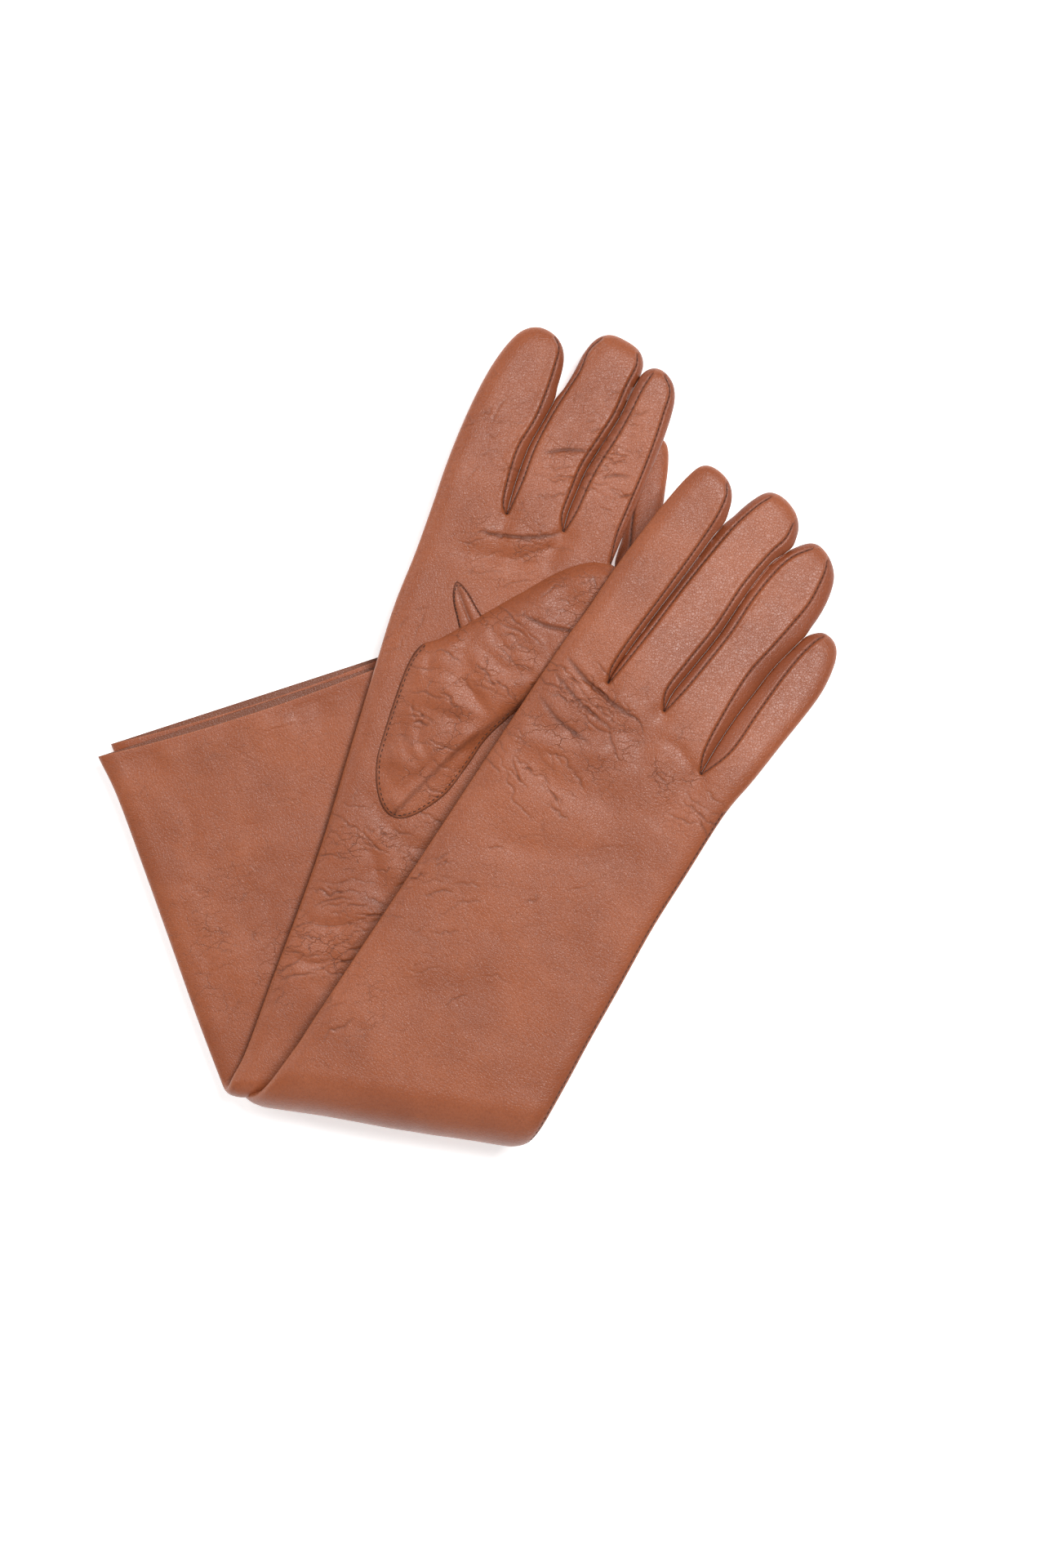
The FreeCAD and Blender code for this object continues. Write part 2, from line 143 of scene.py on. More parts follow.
# Seams on the upper face: two for each gap between fingers, root first.
RIGHT["seams"] = {
    "index_right": [(47.1, 17.8), (48.6, 23.3), (54.4, 32.3), (65.4, 47.2), (75.8, 61.6),
                    (82.6, 71.8), (86.2, 79.4), (86.4, 83.4)],
    "middle_left": [(47.4, 17.6), (53.7, 25.4), (61.5, 35.2), (71.2, 48.1), (80.2, 59.4),
                    (89.2, 69.9), (96.7, 76.6), (101.4, 79.6)],
    "middle_right": [(65.5, 8.6), (66.6, 15.5), (74.0, 25.4), (83.1, 36.9), (91.9, 50.2),
                     (100.8, 60.6), (106.2, 65.8), (108.9, 70.8)],
    "ring_left": [(65.9, 8.2), (72.7, 15.5), (80.2, 24.6), (87.9, 34.4), (95.5, 45.8),
                  (102.9, 54.8), (108.8, 59.9), (115.4, 62.6)],
    "ring_right": [(77.6, -12.0), (79.3, -4.2), (86.1, 8.7), (93.7, 20.8), (101.2, 29.1),
                   (108.6, 37.5), (114.7, 45.1), (119.2, 54.0), (120.4, 58.4)],
    "little_left": [(78.1, -12.6), (87.8, -5.0), (96.9, 7.9), (105.1, 19.3), (111.1, 26.7),
                    (116.2, 31.6), (119.0, 33.2)],
}
LEFT["seams"] = {
    "index_right": [(13.2, 74.4), (12.4, 78.6), (14.8, 89.1), (17.7, 97.3), (23.0, 106.1),
                    (26.6, 114.9), (29.5, 123.7), (31.0, 130.0), (29.6, 133.8)],
    "middle_left": [(13.9, 74.3), (18.7, 85.0), (22.8, 96.0), (28.1, 106.5), (33.9, 115.9),
                    (38.0, 122.3), (41.0, 129.2), (45.4, 133.4)],
    "middle_right": [(32.2, 68.8), (32.0, 74.2), (34.6, 81.5), (38.2, 90.3), (44.1, 99.7),
                     (49.3, 107.9), (53.4, 117.2), (56.8, 124.0), (57.2, 128.0)],
    "ring_left": [(32.7, 68.4), (36.8, 75.0), (40.4, 83.0), (44.6, 91.0), (50.0, 99.4),
                  (54.8, 108.0), (58.8, 116.0), (62.4, 121.4)],
    "ring_right": [(48.1, 57.8), (50.1, 66.9), (53.6, 75.7), (58.3, 86.8), (62.4, 97.3),
                   (65.9, 108.0), (68.0, 115.4), (66.2, 120.6)],
}

LEFT_LITTLE = {
    "outline": [(50.4, 50.0), (49.6, 57.4), (50.8, 62.4), (52.4, 67.4), (54.2, 78.0), (56.2, 90.0),
                (58.6, 97.6), (61.8, 101.3), (65.2, 100.8), (67.6, 97.6), (67.8, 91.0),
                (66.6, 82.0), (65.2, 72.0), (63.8, 62.0), (62.2, 53.0), (60.8, 45.0)],
    "seam": [(54.6, 56.0), (55.2, 68.0), (57.0, 82.0), (59.6, 94.0), (62.2, 99.4)],
    "root": (57.0, 50.0), "direction": 83.0, "level": 15.6,
}
THUMBS = {
    "left": {
        "outline": [(-14.8, 30.6), (-18.9, 25.0), (-22.8, 15.2), (-27.9, -0.5), (-29.9, -9.0),
                    (-29.6, -18.0), (-27.0, -24.6), (-22.6, -27.3), (-16.1, -25.6),
                    (-6.9, -19.2), (0.6, -9.6), (6.6, -1.0), (14.6, 6.6), (24.0, 14.6),
                    (34.0, 23.6), (44.0, 33.6), (51.4, 42.6), (54.2, 49.6), (52.6, 54.6),
                    (48.1, 57.2), (41.0, 58.0), (31.0, 54.9), (18.0, 47.7), (4.2, 39.9),
                    (-1.7, 36.5), (-9.0, 32.6)],
        "sewn": 13, "level": 19.15, "rise": 4.9, "edge": 8.0,
        "direction": 45.0, "start": (-22.0, -27.0), "length_way": 56.0,
        "tuck": [(-24.0, -26.0), (-12.5, -13.8), (-0.9, -3.0), (10.0, 5.0), (22.0, 12.4),
                 (30.0, 17.0)],
    },
    "right": {
        "outline": [(13.0, -22.0), (5.0, -28.0), (-1.0, -40.0), (-2.0, -52.0), (3.0, -60.0),
                    (12.0, -62.0), (24.0, -58.0), (40.0, -52.6), (56.0, -47.0), (70.0, -41.6),
                    (77.6, -36.6), (79.6, -30.4), (76.4, -25.0), (69.0, -22.6), (56.0, -22.4),
                    (40.0, -22.8), (26.0, -22.0)],
        "sewn": 7, "level": 25.3, "rise": 5.0, "edge": 8.0,
        "direction": 12.0, "start": (-2.0, -46.0), "length_way": 30.0, "tuck": [],
    },
}
GUSSETS = {
    "left": [(-3.5, 51.4), (-4.4, 47.0), (-3.4, 41.0), (-0.6, 33.6), (6.0, 37.2), (3.0, 44.0),
             (0.6, 48.2), (-1.8, 51.0)],
    "right": [(21.6, -10.4), (18.4, -13.4), (15.4, -18.4), (13.6, -22.2), (19.6, -23.6),
              (21.6, -19.0), (22.6, -14.0), (22.4, -11.2)],
}


# ---------------------------------------------------------------- lines, areas and noise
def smooth_line(points, step=LINE_STEP, closed=False):
    """Points evenly spaced along a smooth line through the given points."""
    spots = np.asarray(points, float)
    if closed:
        padded = np.vstack([spots[-1], spots, spots[0], spots[1]])
    else:
        padded = np.vstack([2 * spots[0] - spots[1], spots, 2 * spots[-1] - spots[-2]])
    way = []
    fractions = np.linspace(0, 1, 24, endpoint=False)[:, None]
    for start in range(1, len(padded) - 2):
        before, here, there, after = padded[start - 1:start + 3]
        way.append(0.5 * (2 * here + (there - before) * fractions
                          + (2 * before - 5 * here + 4 * there - after) * fractions ** 2
                          + (3 * here - before - 3 * there + after) * fractions ** 3))
    way.append(padded[-2][None, :])
    return even_line(np.vstack(way), step)


def even_line(way, step=LINE_STEP):
    """Walk along a broken line and drop points at even distances."""
    way = np.asarray(way, float)
    lengths = np.r_[0, np.cumsum(np.linalg.norm(np.diff(way, axis=0), axis=1))]
    count = max(2, int(round(lengths[-1] / step)) + 1)
    wanted = np.linspace(0, lengths[-1], count)
    return np.stack([np.interp(wanted, lengths, way[:, axis]) for axis in range(2)], 1)


def nearest(points, line, chunk=4000):
    """Distance to a broken line, the signed side, and how far along the nearest point is."""
    start, end = line[:-1], line[1:]
    step = end - start
    size = (step ** 2).sum(1) + 1e-12
    reach = np.r_[0, np.cumsum(np.sqrt(size))]
    if len(points) * len(line) > 400000 and np.sqrt(size).max() < 2.5:
        return nearest_by_corner(points, line, step, size, reach)
    distance, side, along = [], [], []
    for first in range(0, len(points), chunk):
        part = points[first:first + chunk, None, :]
        share = np.clip(((part - start) * step).sum(2) / size, 0, 1)
        gap = part - (start + share[..., None] * step)
        square = (gap ** 2).sum(2)
        best = square.argmin(1)
        row = np.arange(len(best))
        distance.append(np.sqrt(square[row, best]))
        cross = step[best, 0] * gap[row, best, 1] - step[best, 1] * gap[row, best, 0]
        side.append(np.sign(cross))
        along.append(reach[best] + share[row, best] * np.sqrt(size[best]))
    return np.concatenate(distance), np.concatenate(side), np.concatenate(along)


def nearest_by_corner(points, line, step, size, reach):
    """The same for an evenly spaced line, looking only at the parts by its nearest corner."""
    tree = KDTree(len(line))
    for number, spot in enumerate(line):
        tree.insert((spot[0], spot[1], 0.0), number)
    tree.balance()
    corner = np.array([tree.find((x, y, 0.0))[1] for x, y in points])
    results = []
    for shift in (-1, 0):
        part = np.clip(corner + shift, 0, len(step) - 1)
        gap = points - line[part]
        share = np.clip((gap * step[part]).sum(1) / size[part], 0, 1)
        gap = gap - share[:, None] * step[part]
        cross = step[part, 0] * gap[:, 1] - step[part, 1] * gap[:, 0]
        results.append((np.sqrt((gap ** 2).sum(1)), np.sign(cross),
                        reach[part] + share * np.sqrt(size[part])))
    first = results[0][0] < results[1][0]
    return tuple(np.where(first, early, late) for early, late in zip(*results))


def inside(points, outline):
    """True for each point inside a closed outline."""
    result = np.zeros(len(points), bool)
    x, y = points[:, 0], points[:, 1]
    previous = outline[-1]
    for corner in outline:
        crosses = (corner[1] > y) != (previous[1] > y)
        if crosses.any():
            rise = previous[1] - corner[1]
            at = corner[0] + (y - corner[1]) * (previous[0] - corner[0]) / (rise or 1e-12)
            result ^= crosses & (x < at)
        previous = corner
    return result


def lattice_noise(points, size, seed):
    """Smooth noise between -1 and 1 over a plane, with bumps of about the given size."""
    table = np.random.default_rng(seed).uniform(-1, 1, (256, 256))
    place = points / size + 1000.0
    cell = np.floor(place).astype(int)
    part = place - cell
    part = part * part * (3 - 2 * part)
    x0, y0 = cell[:, 0] % 256, cell[:, 1] % 256
    x1, y1 = (x0 + 1) % 256, (y0 + 1) % 256
    low = table[x0, y0] * (1 - part[:, 0]) + table[x1, y0] * part[:, 0]
    high = table[x0, y1] * (1 - part[:, 0]) + table[x1, y1] * part[:, 0]
    return low * (1 - part[:, 1]) + high * part[:, 1]


def rumpled(points, size, seed):
    """Soft full folds with narrower valleys between them, from about -0.5 to 0.5."""
    wander = np.stack([lattice_noise(points, size * 1.7, seed + 3),
                       lattice_noise(points, size * 1.7, seed + 4)], 1)
    folds = lattice_noise(points + wander * size * 0.7, size, seed + 5)
    return np.sqrt(folds ** 2 + 0.01) * 1.6 - 0.55


def rounded(share):
    """Height of a round edge, 0 at the rim and 1 once past its radius."""
    share = np.clip(share, 0, 1)
    return np.sqrt(np.clip(1 - (1 - share) ** 2, 0, 1))


def eased(value, low, high):
    """A soft step from 0 at low to 1 at high."""
    share = np.clip((value - low) / (high - low), 0, 1)
    return share * share * (3 - 2 * share)


# ---------------------------------------------------------------- the folded lay of a glove
class Lay:
    """Carries a glove's flat pattern round its fold.  Pattern points are (along, away)."""

    def __init__(self, glove):
        turn = math.radians(glove["fold_turn"])
        self.along = np.array([math.cos(turn), math.sin(turn)])
        self.away = np.array([-math.sin(turn), math.cos(turn)])
        self.start = np.array(glove["fold_start"]) + SETTLE
        self.radius = (glove["hand_level"] - glove["sleeve_level"]) / 2
        self.middle = (glove["hand_level"] + glove["sleeve_level"]) / 2
        self.bend_at = self.radius + glove["half"]
        self.bend_length = math.pi * self.radius

    def hand(self, plan):
        """Pattern points of plan points on the hand."""
        gap = np.asarray(plan, float) + SETTLE - self.start
        return np.stack([gap @ self.along, gap @ self.away], 1)

    def sleeve(self, plan):
        """Pattern points of plan points on the sleeve, past the bend."""
        spots = self.hand(plan)
        spots[:, 1] = 2 * self.bend_at - self.bend_length - spots[:, 1]
        return spots

    def place(self, pattern, lift, drop):
        """Where pattern points lie in the folded glove, raised off its middle by lift."""
        away = pattern[:, 1]
        angle = np.clip((self.bend_at - away) / self.radius, 0, math.pi)
        straight = (np.maximum(away - self.bend_at, 0)
                    + np.maximum(self.bend_at - self.bend_length - away, 0))
        reach = self.bend_at + straight - (self.radius + lift) * np.sin(angle)
        plan = self.start + pattern[:, :1] * self.along + reach[:, None] * self.away
        height = self.middle + (self.radius + lift) * np.cos(angle) - drop
        return np.column_stack([plan, height])


def turned_into(points, direction, start):
    """Points as (across, forward) of a direction given in degrees."""
    forward = np.array([math.cos(math.radians(direction)), math.sin(math.radians(direction))])
    gap = points - start
    return np.stack([gap @ np.array([forward[1], -forward[0]]), gap @ forward], 1)


def crease_field(points, creases):
    """How far a set of creases presses the leather in at each point."""
    field = np.zeros(len(points))
    for line, depth, width in creases:
        low, high = line.min(0) - 6 * width, line.max(0) + 6 * width
        near = np.flatnonzero(((points > low) & (points < high)).all(1))
        if not len(near):
            continue
        distance, _, along = nearest(points[near], line)
        length = np.linalg.norm(np.diff(line, axis=0), axis=1).sum()
        fade = np.sin(np.clip(along / length, 0.0, 1.0) * math.pi) ** 0.6
        groove = -np.exp(-(distance / width) ** 2)
        ridge = 0.22 * np.exp(-((distance - 2.4 * width) / (1.5 * width)) ** 2)
        field[near] += depth * fade * (groove + ridge)
    return field


def painted_crease_shade(points, creases):
    """How much painted shade darkens the leather along the narrow creases at each point."""
    narrow = [crease for crease in creases if crease[2] < NARROW_CREASE]
    return 0.7 * np.clip(-3.2 * crease_field(points, narrow), 0.0, 1.0)


def scattered_creases(zones, seed):
    """Short wandering creases in each zone: middle, reach, direction, count, length, depth."""
    chance = np.random.default_rng(seed)
    creases = []
    for middle, reach, direction, count, length, depth in zones:
        for _ in range(int(count * 1.6)):
            angle = math.radians(direction + chance.normal(0, 16))
            ahead = np.array([math.cos(angle), math.sin(angle)])
            across = np.array([-ahead[1], ahead[0]])
            base = math.radians(direction)
            frame_ahead = np.array([math.cos(base), math.sin(base)])
            frame_across = np.array([-frame_ahead[1], frame_ahead[0]])
            spot = (np.array(middle) + frame_ahead * chance.normal(0, reach[0] / 2)
                    + frame_across * chance.normal(0, reach[1] / 2))
            span = length * chance.uniform(0.5, 1.4)
            bend = chance.normal(0, 0.09) * span
            wobble = chance.normal(0, 0.42, 7)
            ways = np.linspace(-0.5, 0.5, 7)
            points = [spot + ahead * span * way + across * (bend * (1 - 4 * way * way) + shake)
                      for way, shake in zip(ways, wobble)]
            creases.append((smooth_line(points, 0.6), depth * chance.uniform(0.35, 1.1),
                            chance.uniform(0.24, 0.42)))
    return creases


# ---------------------------------------------------------------- meshing a flat area
def rim_rings(outline, rim):
    """Rings of points just inside an outline, for the leather to turn over its edge."""
    ahead = np.roll(outline, -1, 0) - np.roll(outline, 1, 0)
    ahead /= np.linalg.norm(ahead, axis=1)[:, None] + 1e-9
    area = 0.5 * np.sum(outline[:, 0] * np.roll(outline[:, 1], -1)
                        - np.roll(outline[:, 0], -1) * outline[:, 1])
    inward = np.stack([-ahead[:, 1], ahead[:, 0]], 1) * math.copysign(1, area)
    rings = []
    for depth in RIM_STEPS:
        ring = outline + inward * depth
        kept = (nearest(ring, rim)[0] > depth * 0.93) & inside(ring, outline)
        rings.append(ring[kept])
    return rings


def open_grid(outline, rim, lines, step):
    """An even grid of points within an outline, clear of its rim and of the given lines."""
    low, high = outline.min(0), outline.max(0)
    columns = np.arange(low[0], high[0], step)
    rows = np.arange(low[1], high[1], step * 0.866)
    grid = np.array([(x + (0.5 * step if k % 2 else 0), y)
                     for k, y in enumerate(rows) for x in columns])
    grid = grid[inside(grid, outline)]
    grid = grid[nearest(grid, rim)[0] > RIM_STEPS[-1] + 0.55 * step]
    for line in lines:
        grid = grid[nearest(grid, line)[0] > 0.45 * step]
    return grid


def flat_mesh(outline, lines, extra, step):
    """Triangles filling a closed outline, cut along the given lines and finer at the rim."""
    spots, edges = [], []
    for line, last in [(outline, 0)] + [(line, 1) for line in lines]:
        first, count = len(spots), len(line)
        spots.extend(map(tuple, line))
        edges.extend((first + k, first + (k + 1) % count) for k in range(count - last))
    rim = round_line(outline)
    loose = rim_rings(outline, rim)
    grid = open_grid(outline, rim, lines, step)
    if len(extra):
        extra = extra[inside(extra, outline)]
        extra = extra[nearest(extra, rim)[0] > 0.5]
        cells = {(round(x / step), round(y / step)) for x, y in extra}
        grid = grid[[(round(x / step), round(y / step)) not in cells for x, y in grid]]
        loose.append(extra)
    loose.append(grid)
    everything = [Vector(spot) for spot in spots]
    everything += [Vector(spot) for spot in np.vstack(loose)]
    made = delaunay_2d_cdt(everything, edges, [], 1, 1e-3, False)
    points = np.array([tuple(spot) for spot in made[0]])
    triangles = np.array([face for face in made[2] if len(face) == 3])
    corner = points[triangles]
    turn = np.cross(corner[:, 1] - corner[:, 0], corner[:, 2] - corner[:, 0])
    triangles[turn < 0] = triangles[turn < 0][:, ::-1]
    kept = (np.abs(turn) > 1e-7) & inside(corner.mean(1), outline)
    return points, triangles[kept]


def beside(line, distances):
    """Extra points on both sides of a line, to carry its shape in the mesh."""
    ahead = np.gradient(line, axis=0)
    ahead /= np.linalg.norm(ahead, axis=1)[:, None] + 1e-9
    across = np.stack([-ahead[:, 1], ahead[:, 0]], 1)
    return np.vstack([line + across * sign * gap for gap in distances for sign in (-1, 1)])


def vertex_normals(points, triangles):
    """Smooth normals of a triangle mesh."""
    corner = points[triangles]
    face = np.cross(corner[:, 1] - corner[:, 0], corner[:, 2] - corner[:, 0])
    normals = np.zeros_like(points)
    for place in range(3):
        np.add.at(normals, triangles[:, place], face)
    return normals / (np.linalg.norm(normals, axis=1)[:, None] + 1e-12)


def both_sheets(values):
    """The same values for the upper and then the lower sheet of a piece."""
    return np.r_[values, values]


def two_patterns(points, aside=0.0):
    """Where the two sheets lie in the hide: the lower one cut far away from the upper."""
    return np.vstack([points, points + LOWER_SHEET_AWAY]) + [aside, 0.0]


def round_line(outline):
    """A closed outline as a line that ends where it starts."""
    return np.vstack([outline, outline[:1]])


def plain_object(name, points, faces, material):
    """A smooth mesh object in metres with one material."""
    mesh = bpy.data.meshes.new(name)
    mesh.from_pydata((points * MM).tolist(), [], faces.tolist())
    mesh.update()
    mesh.shade_smooth()
    mesh.materials.append(material)
    piece = bpy.data.objects.new(name, mesh)
    bpy.context.scene.collection.objects.link(piece)
    return piece


def leather_object(name, points, triangles, normals, pattern, marks, material):
    """A piece cut from a larger mesh, shaded like the whole and marked for its leather."""
    used, index = np.unique(triangles, return_inverse=True)
    piece = plain_object(name, points[used], index.reshape(triangles.shape), material)
    mesh = piece.data
    layer = mesh.uv_layers.new(name="pattern")
    corners = np.empty(len(mesh.loops), int)
    mesh.loops.foreach_get("vertex_index", corners)
    layer.data.foreach_set("uv", (pattern[used][corners] * 0.01).ravel())
    for label, values in marks.items():
        attribute = mesh.attributes.new(label, "FLOAT", "POINT")
        attribute.data.foreach_set("value", values[used].astype(np.float32))
    mesh.normals_split_custom_set_from_vertices(normals[used].tolist())
    return piece


# ---------------------------------------------------------------- folds and creases, plan mm
# Folds are (line, depth, width).  Zones of short creases are (middle, reach, direction, count,
# length, depth), and rumples are (middle, reach, amount).
RIGHT["folds"] = [
    ([(47.1, 17.8), (43.0, 11.0), (37.0, 1.0)], 0.7, 3.6),
    ([(65.6, 8.3), (61.0, 1.0), (54.0, -9.0)], 0.6, 4.2),
    ([(77.8, -12.5), (72.0, -20.0), (63.0, -31.0)], 0.6, 4.2),
    ([(33.4, 26.5), (40.8, 17.8), (50.1, 9.8), (58.0, 5.0)], 0.5, 0.8),
    ([(29.0, 22.0), (37.0, 12.0), (47.0, 3.0)], 0.35, 0.7),
    ([(24.0, 14.0), (31.0, 5.0), (42.0, -3.0)], 0.3, 0.9),
    ([(62.0, 0.0), (70.0, -4.0), (77.0, -14.0)], 0.4, 1.4),
    ([(14.0, -2.0), (30.0, -16.0), (52.0, -22.0)], 0.5, 4.5),
    ([(2.0, -30.0), (24.0, -38.0), (58.0, -40.0)], 0.4, 5.0),
    ([(-34.0, -92.0), (-12.0, -84.0), (22.0, -84.0)], 0.45, 6.0),
]
RIGHT["zones"] = [
    ((40.0, 13.0), (18.0, 12.0), -45.0, 20, 11.0, 0.30),
    ((20.0, -12.0), (20.0, 14.0), -48.0, 16, 9.0, 0.26),
    ((-12.0, -48.0), (22.0, 26.0), 12.0, 18, 8.0, 0.24),
    ((80.0, -22.0), (14.0, 10.0), -35.0, 10, 9.0, 0.22),
    ((44.0, -30.0), (40.0, 30.0), 22.0, 7, 15.0, 0.07),
    ((0.0, -96.0), (60.0, 20.0), 0.0, 5, 12.0, 0.06),
    ((-44.0, -92.0), (10.0, 14.0), 30.0, 8, 8.0, 0.2),
    ((62.0, 52.0), (20.0, 12.0), -30.0, 6, 7.0, 0.08),
    ((84.0, 42.0), (24.0, 14.0), -30.0, 6, 7.0, 0.08),
    ((102.0, 34.0), (20.0, 10.0), -30.0, 5, 6.0, 0.08),
]
LEFT["folds"] = [
    ([(13.5, 74.2), (11.0, 66.0), (8.0, 58.0)], 0.7, 2.6),
    ([(32.4, 68.4), (30.0, 62.0), (26.0, 55.0)], 0.7, 2.6),
    ([(3.6, 68.2), (19.0, 66.3), (28.5, 67.1), (32.2, 68.6)], 0.45, 0.7),
    ([(-4.0, 62.0), (16.0, 59.3), (29.6, 63.0), (38.0, 66.5)], 0.9, 2.6),
    ([(26.0, 94.4), (33.0, 95.6), (41.0, 95.4)], 0.4, 0.7),
    ([(45.0, 86.2), (50.0, 87.0), (55.0, 86.6)], 0.25, 0.6),
    ([(-34.0, -18.0), (-22.0, -34.0), (-4.0, -40.0)], 0.5, 2.6),
    ([(-56.0, -60.0), (-44.0, -63.0), (-30.0, -60.0)], 0.5, 1.6),
    ([(-60.0, -72.0), (-50.0, -76.0), (-40.0, -72.0)], 0.4, 1.4),
    ([(-36.0, -26.0), (-30.0, -46.0), (-24.0, -60.0)], 0.5, 4.0),
    ([(-74.0, -108.0), (-62.0, -98.0), (-52.0, -84.0)], 0.6, 3.0),
]
LEFT["zones"] = [
    ((-44.0, -64.0), (26.0, 30.0), 4.0, 26, 12.0, 0.30),
    ((-28.0, -34.0), (22.0, 16.0), -25.0, 14, 10.0, 0.24),
    ((16.0, 66.0), (28.0, 10.0), 0.0, 14, 10.0, 0.2),
    ((34.0, 92.0), (14.0, 12.0), 2.0, 12, 8.0, 0.22),
    ((52.0, 88.0), (10.0, 24.0), -8.0, 12, 7.0, 0.2),
    ((8.0, 100.0), (18.0, 26.0), 15.0, 14, 8.0, 0.14),
    ((-20.0, 30.0), (14.0, 30.0), 40.0, 12, 8.0, 0.14),
    ((46.0, 118.0), (16.0, 16.0), 0.0, 8, 7.0, 0.12),
]
RIGHT["rumples"] = [((38.0, 2.0), 20.0, 1.0), ((68.0, -12.0), 14.0, 0.7),
                    ((-40.0, -90.0), 18.0, 0.5), ((10.0, -50.0), 60.0, 0.22)]
LEFT["rumples"] = [((-30.0, -38.0), 18.0, 0.9), ((-52.0, -74.0), 20.0, 0.8),
                   ((14.0, 64.0), 12.0, 0.9), ((44.0, 96.0), 20.0, 0.5),
                   ((0.0, 90.0), 40.0, 0.25), ((-84.0, -66.0), 26.0, 0.6),
                   ((-76.0, -16.0), 44.0, 0.3)]
LEFT["sleeve_zones"] = [
    ((-84.0, -20.0), (50.0, 30.0), 20.0, 7, 14.0, 0.08),
    ((-84.0, -80.0), (24.0, 30.0), 30.0, 10, 10.0, 0.13),
    ((-60.0, 4.0), (40.0, 12.0), 12.0, 5, 12.0, 0.10),
]
RIGHT["sleeve_zones"] = []
THUMBS["left"]["folds"] = [
    ([(-24.0, -20.0), (-14.0, -12.0), (-4.0, -2.0)], 0.7, 2.0),
    ([(-14.0, 24.0), (-2.0, 18.0), (8.0, 8.0)], 0.5, 2.6),
    ([(18.5, 40.5), (27.0, 36.6), (34.5, 35.0), (37.0, 31.0)], 0.45, 0.7),
    ([(4.0, 30.0), (14.0, 22.0), (24.0, 20.0)], 0.5, 2.0),
    ([(-20.0, 10.0), (-8.0, 8.0), (4.0, 2.0)], 0.4, 1.8),
]
THUMBS["left"]["zones"] = [
    ((-14.0, 6.0), (30.0, 20.0), -28.0, 11, 11.0, 0.26),
    ((14.0, 26.0), (26.0, 22.0), -35.0, 14, 10.0, 0.28),
    ((32.0, 42.0), (16.0, 14.0), 10.0, 7, 8.0, 0.22),
]
THUMBS["right"]["folds"] = []
THUMBS["right"]["zones"] = [((30.0, -42.0), (40.0, 14.0), 60.0, 14, 10.0, 0.2)]


def close_gap(first, second, reach=1.9, left_open=0.05):
    """Draw the facing edges of two neighbouring fingers together until they almost touch."""
    moves = []
    for line, other in ((first, second), (second, first)):
        gap = np.linalg.norm(line[:, None] - other[None], axis=2)
        target = other[gap.argmin(1)]
        distance = gap.min(1)
        share = np.clip((distance - left_open) / 2, 0, None) * eased(reach - distance, 0.0, 0.6)
        moves.append((target - line) / (distance[:, None] + 1e-9) * share[:, None])
    for line, move in zip((first, second), moves):
        smooth = np.stack([np.convolve(np.pad(move[:, axis], 2, "edge"), np.ones(5) / 5, "valid")
                           for axis in range(2)], 1)
        line[1:-1] += smooth[1:-1]


